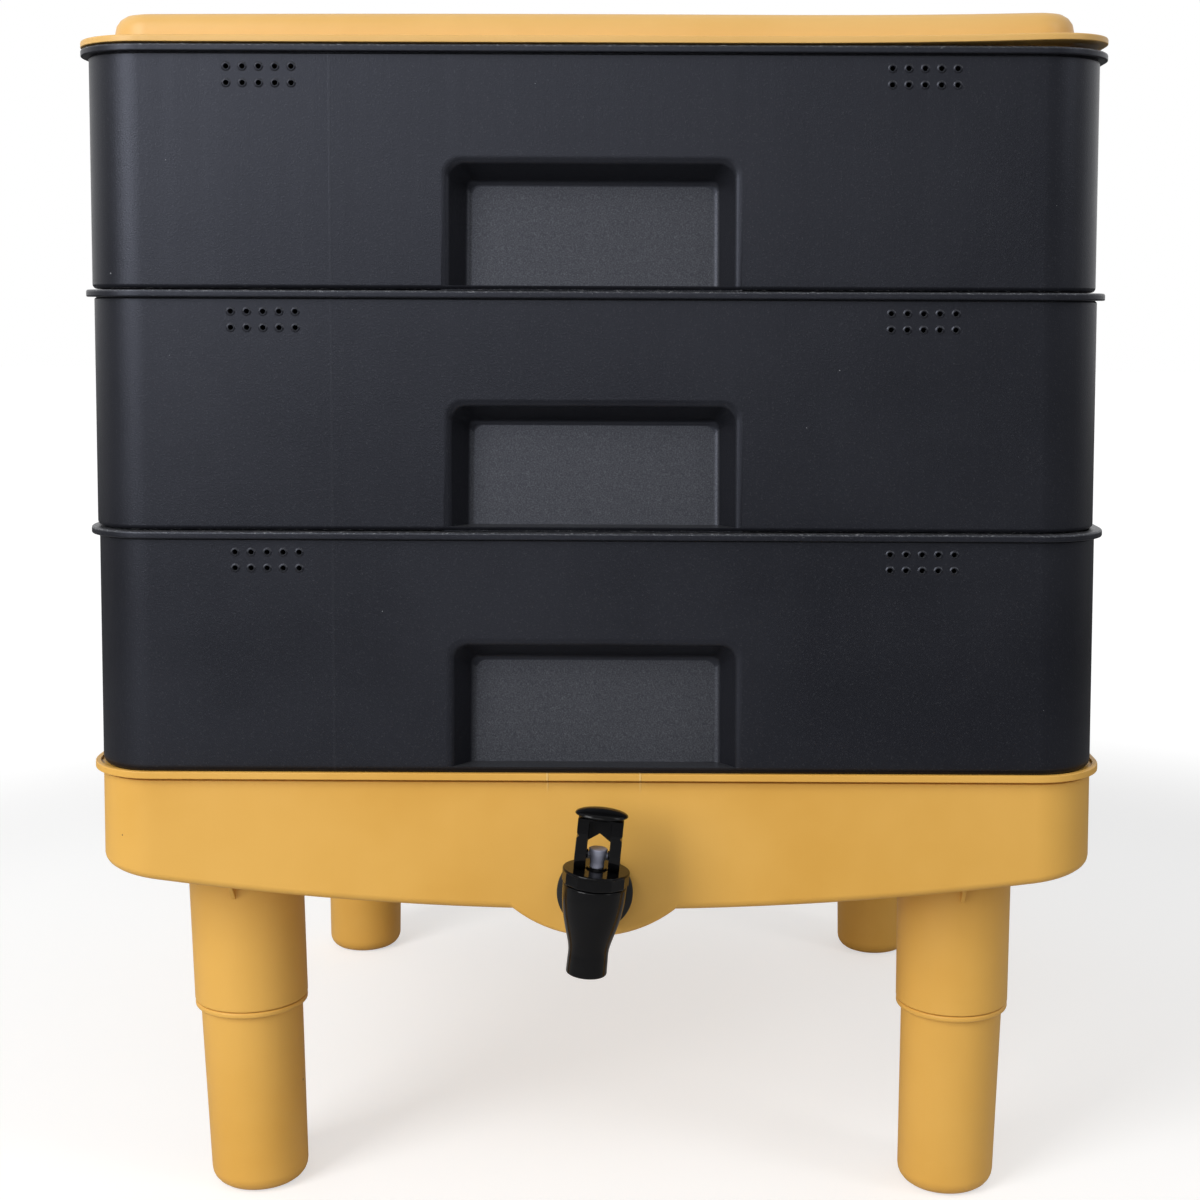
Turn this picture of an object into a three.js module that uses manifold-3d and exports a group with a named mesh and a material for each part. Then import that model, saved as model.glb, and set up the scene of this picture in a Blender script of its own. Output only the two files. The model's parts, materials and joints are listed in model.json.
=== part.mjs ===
// A stacking wormery: three working trays and a lid over a sump base on four legs, with a push tap.
// Millimetres, +Z up, the front with the tap faces -Y, the ground is z = 0.
import * as THREE from "three";
import { mergeGeometries, mergeVertices } from "three/addons/utils/BufferGeometryUtils.js";
import Module from "manifold-3d";

const wasm = await Module();
wasm.setup();

// Driving dimensions shared by the stacked pieces
const rimSize = 460; // outer width and depth over every rim
const rimCornerRadius = 33;
const rimOverhang = 3.5;
const seatGap = 0.3; // left between pieces that rest on or in each other
const overrun = 1; // how far a cut passes through its wall
const cornerSteps = 4;

// Working trays
const trayPitch = 106.3;
const trayWall = 2.5;
const trayFloor = 2.5;
const trayRimThickness = 3.2;
const trayEdgeRadius = 2.2;
const nestDepth = 10; // how far a tray drops into the piece below
const nestClearance = 1.8;
const nestEdgeRadius = 1.5;
const trayLean = -0.75; // sideways step of each upper tray in the loosely nested stack
const floorHoleSize = 12;
const floorHolePitch = 68;
const floorHoleCount = 6;

// Air holes, two groups on the front wall and two on the back wall of each tray
const airHoleRadius = 1.1;
const airHolePitch = 7.1;
const airHoleColumns = 5;
const airHoleRows = 2;
const airHoleSides = 6;
const airGroupOffset = 144.9; // from the tray's middle to the middle of a group
const airGroupDrop = 13; // from the top of the rim to the middle of a group

// Handle pocket at the foot of each tray's front and back wall
const pocketMouthWidth = 127;
const pocketMouthTop = 56; // above the foot of the wall
const pocketDraft = 8; // how far the sides and the top lean in
const pocketTopDepth = 16;
const pocketFootDepth = 11;
const pocketLedge = 2;
const pocketCornerRadius = 7;
const pocketLipRadius = 1.6;
const pocketCornerSteps = 3;

// Sump base
const sumpRimTop = 215.9;
const sumpRimThickness = 4.4;
const sumpWall = 3;
const sumpBottom = 151.3; // under the middle of the dished floor
const sumpDishRadius = 1530; // of the arc that lifts the floor to both sides
const sumpEdgeRadius = 4;
const sumpEdgeSteps = 6;
const bellyRadius = 58.8; // drain belly behind the tap
const bellyBottom = 139.3;
const bellyLength = 150;
const bellySteps = 32;

// Legs
const legInset = 61.7; // from the rim's edge to a leg's axis
const legSteps = 18;
const tubeFootRadius = 26.5; // upper leg tube
const tubeFlare = 0.4; // how much wider it is at the floor
const tubeWall = 2.5;
const bossHeight = 20; // of the round boss under the floor that a tube pushes over
const bossEdge = 1;
const cupHeight = 91.1; // top of the lower leg's lip
const lipThickness = 2.8;
const lipInset = 0.1; // from the tube's face to the lip's
const lipOverhang = 2.5;
const cupTaper = 1.2;
const cupEdgeRadius = 7.5;
const cupEdgeSteps = 2;
const cupWall = 2.4;
const spigotHeight = 24;
const gussetHeight = 14.4;
const gussetReach = 12;
const gussetThickness = 1.8;

// Lid
const lidHeight = 15.8; // from the flange's underside to the top
const lidFlange = 2.2;
const lidWall = 2.4;
const lidPanelInset = 15.1; // from the flange's edge to the raised panel
const lidFillet = 8;
const lidFilletSteps = 3;
const lidSkirtDepth = 8;
const lidTilt = 0.3; // degrees, the lid sits a little askew
const lidRibCount = 4; // locating ribs on each side
const lidRibPitch = 95;
const lidRibThickness = 2;
const lidRibDepth = 6;

// Tap, measured from its inlet axis at the outer face of the base wall
const tapRise = 21.5; // of the inlet axis above the foot of the drain belly
const tapOffset = 0.4; // of the inlet axis from the middle of the front
const tapLean = 5.5; // degrees, the whole tap is turned a little about its inlet
const tapReach = 29.5; // from the wall to the barrel's axis
const tapSteps = 18;
const washerRadius = 17;
const washerThickness = 3;
const collarRadius = 14;
const collarThickness = 3;
const shankRadius = 8;
const shankLength = 21; // inside the sump
const shankBore = 4.5;
const shankHoleClearance = 0.4;
const inletRadius = 9;
const nutWidth = 27; // across flats
const nutThickness = 8;
const innerWasherRadius = 14.5;
const barrelTop = 12.6; // seam under the bonnet
const barrelRadius = 13.9;
const barrelShoulderRadius = 13.7; // where the barrel begins to draw in
const barrelShoulderHeight = 7;
const barrelPullRadius = 12.7; // the curve leaves the shoulder towards here
const barrelPullHeight = -6.4;
const barrelNeckRadius = 12; // inside the bonnet
const barrelNeckHeight = 4.2;
const chamberRadius = 10.4;
const chamberFloor = -6; // where the outlet begins
const outletBore = 6.3;
const spoutTopRadius = 8.7;
const spoutTop = -18;
const spoutPullHeight = -11.5; // the curve comes to the spout's top from here
const spoutRadius = 8.9;
const spoutBottom = -26.9;
const barrelCurveSteps = 6;
const bonnetRadius = 14.6;
const bonnetTop = 19.2;
const bonnetBandHeight = 1.2; // plain band above the gripping flats
const bonnetFlats = 12;
const bonnetRoof = 2;
const bonnetCollarRadius = 4.1;
const bonnetCollarHeight = 1;
const stemRadius = 2.7;
const stemHeadRadius = 4.2;
const stemTop = 29.2;
const stemClearance = 0.35; // round the stem in the bonnet's hole
const plugRadius = 8.2;
const plugHeight = 8;
const pinHeight = 25.6; // of the handle's cross pin
const pinRadius = 1.2;
const pinClearance = 0.3;
const pinLength = 17;
const armGap = 9.7; // between the handle's two arms
const handleWidth = 19.7;
const handleDepth = 8.6;
const handleShoulder = 31.6; // where the window's sides end
const handleApex = 35;
const handleWaist = 34.2;
const handleWaistInset = 1;
const handleTop = 41.4;
const heelLift = 3; // how far a quarter turn of the handle lifts the stem
const heelSteps = 6;
const capRadius = 11.5;
const capDepthShare = 0.7; // of its width
const capEdgeHeight = 43.1;
const capTop = 45.8;
const capSteps = 20;

// Sizes that follow from the driving ones
const rimHalf = rimSize / 2;
const wallHalf = rimHalf - rimOverhang;
const trayMouthHalf = wallHalf - trayWall;
const plugHalf = trayMouthHalf - nestClearance;
const trayHeight = trayPitch - seatGap; // from the foot of the outer wall to the rim's top
const sumpMouthHalf = wallHalf - sumpWall;
const lidPanelHalf = rimHalf - lidPanelInset;
const legHalf = rimHalf - legInset;
const tubeFoot = cupHeight + seatGap;
const tubeTopRadius = tubeFootRadius + tubeFlare;
const lipRadius = tubeFootRadius - lipInset;
const cupTopRadius = lipRadius - lipOverhang;
const cupFootRadius = cupTopRadius - cupTaper;
const tapHeight = bellyBottom + tapRise;
const tapFront = wallHalf + tapReach + bonnetRadius;
const originShift = [-trayLean, (tapFront - rimHalf) / 2]; // puts the origin under the middle of the whole
const up = Math.PI / 2;

// Turns a closed geometry into a solid that can be joined and cut.
function solid(geometry) {
  const bare = geometry.clone();
  bare.deleteAttribute("normal");
  bare.deleteAttribute("uv");
  const merged = mergeVertices(bare);
  const mesh = new wasm.Mesh({
    numProp: 3,
    vertProperties: merged.attributes.position.array,
    triVerts: new Uint32Array(merged.index.array),
  });
  return new wasm.Manifold(mesh);
}

function geometryOf(body) {
  const mesh = body.getMesh();
  const geometry = new THREE.BufferGeometry();
  geometry.setAttribute("position", new THREE.BufferAttribute(mesh.vertProperties, 3));
  geometry.setIndex(new THREE.BufferAttribute(mesh.triVerts, 1));
  geometry.computeVertexNormals();
  return geometry;
}

// Closed skin through rings of points that all run the same way; each end is capped from its middle.
function loft(rings) {
  const count = rings[0].length;
  const middles = [rings[0], rings.at(-1)].map((ring) => {
    const sum = new THREE.Vector3();
    ring.forEach((point) => sum.add(point));
    return sum.divideScalar(count);
  });
  const points = [...rings.flat(), ...middles];
  const lastRing = (rings.length - 1) * count;
  const firstMiddle = rings.length * count;
  const index = [];
  for (let i = 0; i < count; i++) {
    const next = (i + 1) % count;
    index.push(firstMiddle, next, i);
    index.push(firstMiddle + 1, lastRing + i, lastRing + next);
    for (let ring = 0; ring < lastRing; ring += count) {
      index.push(ring + i, ring + next, ring + count + next);
      index.push(ring + i, ring + count + next, ring + count + i);
    }
  }
  return new THREE.BufferGeometry().setFromPoints(points).setIndex(index);
}

// Ring of a square plan with rounded corners, concentric with the rim.
// The front and back edges can be divided, and lift(x) raises each point.
function squareRing(half, height, edgeSteps = 1, lift = () => 0, share = 1) {
  const radius = rimCornerRadius - (rimHalf - half);
  const straight = half - radius;
  const points = [];
  const corners = [[1, 1], [-1, 1], [-1, -1], [1, -1]];
  corners.forEach(([sideX, sideY], corner) => {
    for (let step = 0; step <= cornerSteps; step++) {
      const angle = (corner + step / cornerSteps) * up;
      const x = share * (sideX * straight + radius * Math.cos(angle));
      const y = share * (sideY * straight + radius * Math.sin(angle));
      points.push(new THREE.Vector3(x, y, height + lift(x)));
    }
    const divided = sideX === sideY ? edgeSteps : 1;
    for (let step = 1; step < divided; step++) {
      const x = share * sideX * straight * (1 - (2 * step) / divided);
      points.push(new THREE.Vector3(x, share * sideY * half, height + lift(x)));
    }
  });
  return points;
}

// Solid of revolution about z; the profile is a list of [radius, height] from the axis or closed on itself.
function turned(profile, steps) {
  const points = profile.map(([radius, height]) => new THREE.Vector2(radius, height));
  return new THREE.LatheGeometry(points, steps).rotateX(up);
}

// Points of a quarter arc in a profile, from one angle to another in quarter turns.
function arc(centreX, centreY, radius, from, to, steps) {
  const points = [];
  for (let step = 0; step <= steps; step++) {
    const angle = (from + ((to - from) * step) / steps) * up;
    points.push([centreX + radius * Math.cos(angle), centreY + radius * Math.sin(angle)]);
  }
  return points;
}

// Cylinder along y from one depth to another.
function rod(radius, from, to, steps, endRadius = radius) {
  const geometry = new THREE.CylinderGeometry(endRadius, radius, to - from, steps);
  return geometry.translate(0, (from + to) / 2, 0);
}

function part(name, geometry, color, roughness) {
  const material = new THREE.MeshStandardMaterial({ color, roughness, metalness: 0 });
  const mesh = new THREE.Mesh(geometry, material);
  mesh.name = name;
  return mesh;
}

// Outline of the pocket at one depth: square foot, rounded top corners.
function pocketRing(halfWidth, foot, top, radius, depthAt) {
  const outline = [
    [halfWidth, foot],
    ...arc(halfWidth - radius, top - radius, radius, 0, 1, pocketCornerSteps),
    ...arc(radius - halfWidth, top - radius, radius, 1, 2, pocketCornerSteps),
    [-halfWidth, foot],
  ];
  return outline.map(([across, height]) => new THREE.Vector3(across, height, depthAt(height)));
}

// Pocket as a drafted block that reaches into the tray; grow thickens it into the pocket's own wall.
function pocketBlock(grow, foot) {
  const mouth = pocketMouthWidth / 2 + grow;
  const slope = (pocketTopDepth - pocketFootDepth) / (pocketMouthTop - pocketDraft);
  const panelDepth = (height) => grow + pocketFootDepth + slope * height;
  const panel = mouth - pocketDraft;
  const top = pocketMouthTop + grow;
  const lip = pocketLipRadius;
  const flat = (depth) => () => depth;
  const rings = [
    pocketRing(mouth + lip, foot, top + lip, pocketCornerRadius + lip, flat(-overrun)),
    pocketRing(mouth + lip, foot, top + lip, pocketCornerRadius + lip, flat(0)),
    pocketRing(mouth, foot, top, pocketCornerRadius, flat(lip)),
    pocketRing(panel, foot, top - pocketDraft, pocketCornerRadius, panelDepth),
  ];
  return solid(loft(rings));
}

// Places a piece that was built facing the front wall at both the front and the back.
function atBothWalls(body) {
  return [0, Math.PI].map((turn) => {
    const across = new THREE.Vector3(-1, 0, 0);
    const height = new THREE.Vector3(0, 0, 1);
    const inward = new THREE.Vector3(0, 1, 0);
    const place = new THREE.Matrix4().makeBasis(across, height, inward);
    place.setPosition(0, -wallHalf, 0).premultiply(new THREE.Matrix4().makeRotationZ(turn));
    return body.transform(place.elements);
  });
}

function airHoles() {
  const holes = [];
  const length = trayWall + 2 * overrun;
  for (const side of [-1, 1]) {
    for (let column = 0; column < airHoleColumns; column++) {
      for (let row = 0; row < airHoleRows; row++) {
        const hole = new THREE.CylinderGeometry(airHoleRadius, airHoleRadius, length, airHoleSides);
        const x = side * airGroupOffset + (column - (airHoleColumns - 1) / 2) * airHolePitch;
        const z = trayHeight - airGroupDrop + (row - (airHoleRows - 1) / 2) * airHolePitch;
        for (const wall of [-1, 1]) {
          holes.push(hole.clone().translate(x, wall * (wallHalf - trayWall / 2), z));
        }
      }
    }
  }
  return solid(mergeGeometries(holes));
}

function floorHoles() {
  const holes = [];
  const first = ((1 - floorHoleCount) / 2) * floorHolePitch;
  for (let column = 0; column < floorHoleCount; column++) {
    for (let row = 0; row < floorHoleCount; row++) {
      const hole = new THREE.BoxGeometry(floorHoleSize, floorHoleSize, trayFloor + 2 * overrun);
      const x = first + column * floorHolePitch;
      const y = first + row * floorHolePitch;
      holes.push(hole.translate(x, y, trayFloor / 2 - nestDepth));
    }
  }
  return solid(mergeGeometries(holes));
}

// One working tray, with z = 0 at the foot of its outer wall.
function trayGeometry() {
  const edge = trayEdgeRadius;
  const edgeBend = edge * (1 - Math.SQRT1_2);
  const outer = loft([
    squareRing(plugHalf - nestEdgeRadius, -nestDepth),
    squareRing(plugHalf, nestEdgeRadius - nestDepth),
    squareRing(plugHalf, 0),
    squareRing(wallHalf - edge, 0),
    squareRing(wallHalf - edgeBend, edgeBend),
    squareRing(wallHalf, edge),
    squareRing(wallHalf, trayHeight - trayRimThickness),
    squareRing(rimHalf, trayHeight - trayRimThickness),
    squareRing(rimHalf, trayHeight),
  ]);
  const cavity = loft([
    squareRing(plugHalf - trayWall, trayFloor - nestDepth),
    squareRing(plugHalf - trayWall, trayWall),
    squareRing(trayMouthHalf, trayWall),
    squareRing(trayMouthHalf, trayHeight + overrun),
  ]);
  let hollow = solid(cavity);
  atBothWalls(pocketBlock(trayWall, 0)).forEach((block) => {
    hollow = hollow.subtract(block);
  });
  let body = solid(outer).subtract(hollow);
  atBothWalls(pocketBlock(0, pocketLedge)).forEach((block) => {
    body = body.subtract(block);
  });
  return geometryOf(body.subtract(airHoles()).subtract(floorHoles()));
}

// Lid, with z = 0 at the flange's underside.
function lidGeometry() {
  const fillet = arc(0, lidHeight - lidFillet, lidFillet, 0, 1, lidFilletSteps);
  const inside = lidFillet - lidWall;
  const innerFillet = arc(0, lidHeight - lidFillet, inside, 0, 1, lidFilletSteps);
  const outer = loft([
    squareRing(lidPanelHalf, -lidSkirtDepth),
    squareRing(lidPanelHalf, 0),
    squareRing(rimHalf, 0),
    squareRing(rimHalf, lidFlange),
    squareRing(lidPanelHalf, lidFlange),
    ...fillet.map(([inset, height]) => squareRing(lidPanelHalf - lidFillet + inset, height)),
  ]);
  const cavity = loft([
    squareRing(lidPanelHalf - lidWall, -lidSkirtDepth - overrun),
    ...innerFillet.map(([inset, height]) => squareRing(lidPanelHalf - lidFillet + inset, height)),
  ]);
  const ribs = [];
  const ribReach = plugHalf - lidPanelHalf;
  for (let side = 0; side < 4; side++) {
    for (let place = 0; place < lidRibCount; place++) {
      const rib = new THREE.BoxGeometry(ribReach + lidWall, lidRibThickness, lidRibDepth + lidFlange / 2);
      const along = (place - (lidRibCount - 1) / 2) * lidRibPitch;
      const out = lidPanelHalf + (ribReach - lidWall) / 2;
      rib.translate(out, along, (lidFlange / 2 - lidRibDepth) / 2);
      ribs.push(rib.rotateZ(side * up));
    }
  }
  return geometryOf(solid(outer).add(solid(mergeGeometries(ribs))).subtract(solid(cavity)));
}

const dish = (x) => sumpDishRadius - Math.sqrt(sumpDishRadius ** 2 - x ** 2);

// Rings of a dished floor, from near the middle out to the foot of the wall.
function floorRings(half, height) {
  const reachShares = [0.1, 0.4, 0.7, 1];
  return reachShares.map((share) => squareRing(half, height, sumpEdgeSteps, dish, share));
}

// The drain belly: a cone lying under the front of the floor that runs out towards the middle.
function belly(inset) {
  const centre = bellyBottom + bellyRadius;
  const cone = rod(
    bellyRadius - inset,
    inset - wallHalf,
    bellyLength - wallHalf,
    bellySteps,
    centre - sumpBottom - inset,
  );
  return solid(cone.translate(0, 0, centre));
}

function legPlaces() {
  return [[-1, -1], [1, -1], [-1, 1], [1, 1]].map(([x, y]) => [x * legHalf, y * legHalf]);
}

// The base's outer form, without belly and bosses and not yet hollow.
function sumpBlock() {
  const edge = sumpEdgeRadius;
  const edgeBend = edge * (1 - Math.SQRT1_2);
  const ring = (half, height, lift) => squareRing(half, height, sumpEdgeSteps, lift);
  const outer = loft([
    ...floorRings(wallHalf - edge, sumpBottom),
    ring(wallHalf - edgeBend, sumpBottom + edgeBend, dish),
    ring(wallHalf, sumpBottom + edge, dish),
    ring(wallHalf, sumpRimTop - sumpRimThickness),
    ring(rimHalf, sumpRimTop - sumpRimThickness),
    ring(rimHalf, sumpRimTop),
  ]);
  return solid(outer);
}

// A height inside the floor over the whole of a leg.
const legTop = () => sumpBottom + dish(legHalf + tubeTopRadius) + sumpWall / 2;

// Round boss under the floor; the cavity trims its top.
function legBoss() {
  const radius = tubeFootRadius - tubeWall - seatGap;
  const foot = sumpBottom + dish(legHalf) - bossHeight;
  const profile = [[0, foot], [radius - bossEdge, foot], [radius, foot + bossEdge]];
  return solid(turned([...profile, [radius, legTop()], [0, legTop()]], legSteps));
}

// Upper leg tube: it pushes over the boss, and a gusset at its top bears under the floor's edge.
function tubeGeometry([x, y]) {
  const top = legTop();
  const tube = turned(
    [
      [tubeFootRadius - tubeWall, tubeFoot],
      [tubeFootRadius, tubeFoot],
      [tubeTopRadius, top],
      [tubeTopRadius - tubeWall, top],
      [tubeFootRadius - tubeWall, tubeFoot],
    ],
    legSteps,
  );
  const underside = sumpBottom + dish(legHalf);
  const rib = new THREE.Shape();
  rib.moveTo(tubeTopRadius - tubeWall / 2, underside - gussetHeight);
  rib.lineTo(tubeTopRadius, underside - gussetHeight);
  rib.lineTo(tubeTopRadius + gussetReach, underside);
  rib.lineTo(tubeTopRadius + gussetReach, top);
  rib.lineTo(tubeTopRadius - tubeWall / 2, top);
  const web = new THREE.ExtrudeGeometry(rib, { depth: gussetThickness, bevelEnabled: false });
  web.translate(0, 0, -gussetThickness / 2).rotateX(up).rotateZ(-up);
  const outward = solid(tube).add(solid(web)).rotate([0, 0, y > 0 ? 180 : 0]);
  return geometryOf(outward.subtract(sumpBlock().translate([-x, -y, -seatGap])));
}

function sumpGeometry() {
  const edge = sumpEdgeRadius;
  const ring = (half, height, lift) => squareRing(half, height, sumpEdgeSteps, lift);
  const cavity = loft([
    ...floorRings(wallHalf - edge, sumpBottom + sumpWall),
    ring(sumpMouthHalf, sumpBottom + sumpWall + edge - (wallHalf - sumpMouthHalf) / 2, dish),
    ring(sumpMouthHalf, sumpRimTop + overrun),
  ]);
  const below = new THREE.BoxGeometry(rimSize, rimSize, 2 * (sumpBottom - bellyBottom + edge));
  below.translate(0, 0, bellyBottom);
  let body = sumpBlock().add(belly(0).intersect(solid(below)));
  legPlaces().forEach(([x, y]) => {
    body = body.add(legBoss().translate([x, y, 0]));
  });
  body = body.subtract(solid(cavity)).subtract(belly(sumpWall));
  const hole = rod(shankRadius + shankHoleClearance, -overrun, sumpWall + overrun, tapSteps);
  return geometryOf(body.subtract(solid(hole.translate(tapOffset, -wallHalf, tapHeight))));
}

// Lower leg: a tapered cup with a rolled lip and a spigot that plugs into the tube above.
function legGeometry() {
  const lipFoot = cupHeight - lipThickness;
  const spigot = tubeFootRadius - tubeWall - seatGap;
  const profile = [
    [0, 0],
    ...arc(cupFootRadius - cupEdgeRadius, cupEdgeRadius, cupEdgeRadius, -1, 0, cupEdgeSteps),
    [cupTopRadius, lipFoot],
    [lipRadius, lipFoot],
    [lipRadius, cupHeight],
    [spigot, cupHeight],
    [spigot, cupHeight + spigotHeight],
    [spigot - cupWall, cupHeight + spigotHeight],
    [spigot - cupWall, lipFoot],
    [cupFootRadius - cupWall, cupEdgeRadius],
    [cupFootRadius - cupEdgeRadius, cupWall],
    [0, cupWall],
  ];
  return turned(profile, legSteps);
}

// Washer round the tap's shank, from one depth inward.
function washer(radius, from) {
  const to = from + washerThickness;
  const disc = solid(rod(radius, from, to, tapSteps));
  const hole = rod(shankRadius + seatGap, from - overrun, to + overrun, tapSteps);
  return geometryOf(disc.subtract(solid(hole)));
}

// Barrel, spout, inlet and shank of the tap, with their real bores.
function tapBodyGeometry() {
  const neckTop = barrelTop + barrelNeckHeight;
  const waist = new THREE.CubicBezierCurve(
    new THREE.Vector2(spoutTopRadius, spoutTop),
    new THREE.Vector2(spoutTopRadius, spoutPullHeight),
    new THREE.Vector2(barrelPullRadius, barrelPullHeight),
    new THREE.Vector2(barrelShoulderRadius, barrelShoulderHeight),
  );
  const barrel = turned(
    [
      [0, spoutBottom],
      [spoutRadius, spoutBottom],
      ...waist.getPoints(barrelCurveSteps).map((point) => [point.x, point.y]),
      [barrelRadius, barrelTop],
      [barrelNeckRadius, barrelTop],
      [barrelNeckRadius, neckTop],
      [0, neckTop],
    ],
    tapSteps,
  );
  const barrelSolid = solid(barrel.translate(0, -tapReach, 0));
  const collarBack = -washerThickness - 2 * seatGap;
  const collar = solid(rod(collarRadius, collarBack - collarThickness, collarBack, tapSteps));
  const inlet = solid(rod(inletRadius, -tapReach, collarBack - collarThickness / 2, tapSteps));
  const shank = solid(rod(shankRadius, collarBack - collarThickness / 2, shankLength, tapSteps));
  const chamber = new THREE.CylinderGeometry(
    chamberRadius,
    chamberRadius,
    neckTop + overrun - chamberFloor,
    tapSteps,
  );
  chamber.rotateX(up).translate(0, -tapReach, (neckTop + overrun + chamberFloor) / 2);
  const outlet = new THREE.CylinderGeometry(
    outletBore,
    outletBore,
    chamberFloor - spoutBottom + 2 * overrun,
    tapSteps,
  );
  outlet.rotateX(up).translate(0, -tapReach, (chamberFloor + spoutBottom) / 2);
  const bore = rod(shankBore, -tapReach, shankLength + overrun, tapSteps);
  let body = barrelSolid.add(inlet).add(collar).add(shank);
  body = body.subtract(solid(chamber)).subtract(solid(outlet)).subtract(solid(bore));
  return geometryOf(body);
}

// Faceted cap over the barrel's neck, standing on its own axis.
function bonnetGeometry() {
  const foot = barrelTop + seatGap;
  const flatTop = bonnetTop - bonnetBandHeight;
  const flatShare = Math.cos(Math.PI / bonnetFlats);
  const band = (height, share) => {
    const points = [];
    for (let i = 0; i < 2 * bonnetFlats; i++) {
      const radius = bonnetRadius * (i % 2 ? share : 1);
      const angle = (i * Math.PI) / bonnetFlats;
      points.push(new THREE.Vector3(radius * Math.cos(angle), radius * Math.sin(angle), height));
    }
    return points;
  };
  const outer = loft([
    band(foot, flatShare),
    band(flatTop, flatShare),
    band(flatTop, 1),
    band(bonnetTop, 1),
  ]);
  const roof = bonnetTop - bonnetRoof;
  const hole = stemRadius + stemClearance;
  const collarTop = bonnetTop + bonnetCollarHeight;
  const inside = turned(
    [
      [0, foot - overrun],
      [barrelNeckRadius + seatGap, foot - overrun],
      [barrelNeckRadius + seatGap, roof],
      [hole, roof],
      [hole, collarTop + overrun],
      [0, collarTop + overrun],
    ],
    tapSteps,
  );
  const collarRadii = [0, bonnetCollarRadius, bonnetCollarRadius, 0];
  const collarHeights = [roof, roof, collarTop, collarTop];
  const collar = turned(collarRadii.map((radius, i) => [radius, collarHeights[i]]), tapSteps);
  return geometryOf(solid(outer).add(solid(collar)).subtract(solid(inside)));
}

// Stem with a flared head that carries the cross pin; its lower end sits in the plug.
function stemGeometry() {
  const waist = (pinHeight + bonnetTop) / 2;
  const profile = [
    [0, chamberFloor + plugHeight / 2],
    [stemRadius, chamberFloor + plugHeight / 2],
    [stemRadius, waist],
    [(stemRadius + stemHeadRadius) / 2, pinHeight],
    [stemHeadRadius, stemTop - stemClearance],
    [stemHeadRadius - stemClearance, stemTop],
    [0, stemTop],
  ];
  const hole = rodAcross(pinRadius + pinClearance, 2 * stemHeadRadius + 2 * overrun);
  return geometryOf(solid(turned(profile, tapSteps)).subtract(solid(hole)));
}

function rodAcross(radius, length) {
  const geometry = new THREE.CylinderGeometry(radius, radius, length, tapSteps / 2);
  return geometry.rotateZ(up).translate(0, 0, pinHeight);
}

// Soft plug that closes the outlet, hollowed for the stem.
function plugGeometry() {
  const foot = chamberFloor + seatGap;
  const socket = stemRadius + seatGap;
  const socketFloor = chamberFloor + plugHeight / 2 - seatGap;
  const top = chamberFloor + plugHeight;
  return turned(
    [
      [0, foot],
      [plugRadius - pinRadius, foot],
      [plugRadius, foot + pinRadius],
      [plugRadius, (foot + top) / 2],
      [(socket + plugRadius) / 2, top],
      [socket, top],
      [socket, socketFloor],
      [0, socketFloor],
    ],
    tapSteps,
  );
}

// Forked handle: front outline and side outline crossed, under a mushroom cap.
// The heel is a cam whose support grows evenly with the turn, so it lifts the stem at a steady rate.
function handleGeometry() {
  const half = handleWidth / 2;
  const gap = armGap / 2;
  const heel = pinHeight - bonnetTop - seatGap;
  const foot = pinHeight - heel;
  const front = new THREE.Shape();
  front.moveTo(-half, foot - overrun);
  front.lineTo(-gap, foot - overrun);
  front.lineTo(-gap, handleShoulder);
  front.lineTo(0, handleApex);
  front.lineTo(gap, handleShoulder);
  front.lineTo(gap, foot - overrun);
  front.lineTo(half, foot - overrun);
  front.lineTo(half, handleWaist - handleWaistInset);
  front.lineTo(half - handleWaistInset, handleWaist);
  front.lineTo(half, handleWaist + handleWaistInset);
  front.lineTo(half, handleTop);
  front.lineTo(-half, handleTop);
  front.lineTo(-half, handleWaist + handleWaistInset);
  front.lineTo(handleWaistInset - half, handleWaist);
  front.lineTo(-half, handleWaist - handleWaistInset);
  const reach = 2 * (heel + heelLift + overrun);
  const frontBlock = new THREE.ExtrudeGeometry(front, { depth: reach, bevelEnabled: false });
  frontBlock.translate(0, 0, -reach / 2).rotateX(up);

  const rate = heelLift / up;
  const side = new THREE.Shape();
  side.moveTo(handleDepth / 2, pinHeight - heel);
  for (let step = 0; step <= heelSteps; step++) {
    const turn = (step / heelSteps) * up;
    const support = heel + rate * turn;
    const y = -support * Math.sin(turn) - rate * Math.cos(turn);
    const z = -support * Math.cos(turn) + rate * Math.sin(turn);
    side.lineTo(y, pinHeight + z);
  }
  side.lineTo(-handleDepth / 2, handleApex);
  side.lineTo(-handleDepth / 2, handleTop);
  side.lineTo(handleDepth / 2, handleTop);
  const sideBlock = new THREE.ExtrudeGeometry(side, { depth: handleWidth, bevelEnabled: false });
  sideBlock.translate(0, 0, -half).rotateX(up).rotateZ(up);

  const cap = turned(
    [
      [0, handleTop - overrun],
      [half / 2, handleTop - overrun],
      [capRadius, capEdgeHeight - seatGap],
      [capRadius, capEdgeHeight],
      [capRadius / 2, (capEdgeHeight + 3 * capTop) / 4],
      [0, capTop],
    ],
    capSteps,
  );
  cap.scale(1, capDepthShare, 1);
  const fork = solid(frontBlock).intersect(solid(sideBlock)).add(solid(cap));
  const hole = rodAcross(pinRadius + pinClearance, pinLength + 2 * seatGap);
  return geometryOf(fork.subtract(solid(hole)));
}

function nutGeometry() {
  const corner = nutWidth / Math.sqrt(3);
  const hexagon = new THREE.CylinderGeometry(corner, corner, nutThickness, 6);
  const from = sumpWall + washerThickness + 3 * seatGap;
  hexagon.translate(0, from + nutThickness / 2, 0);
  const bore = rod(shankRadius + seatGap, from - overrun, from + nutThickness + overrun, tapSteps);
  return geometryOf(solid(hexagon).subtract(solid(bore)));
}

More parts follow.
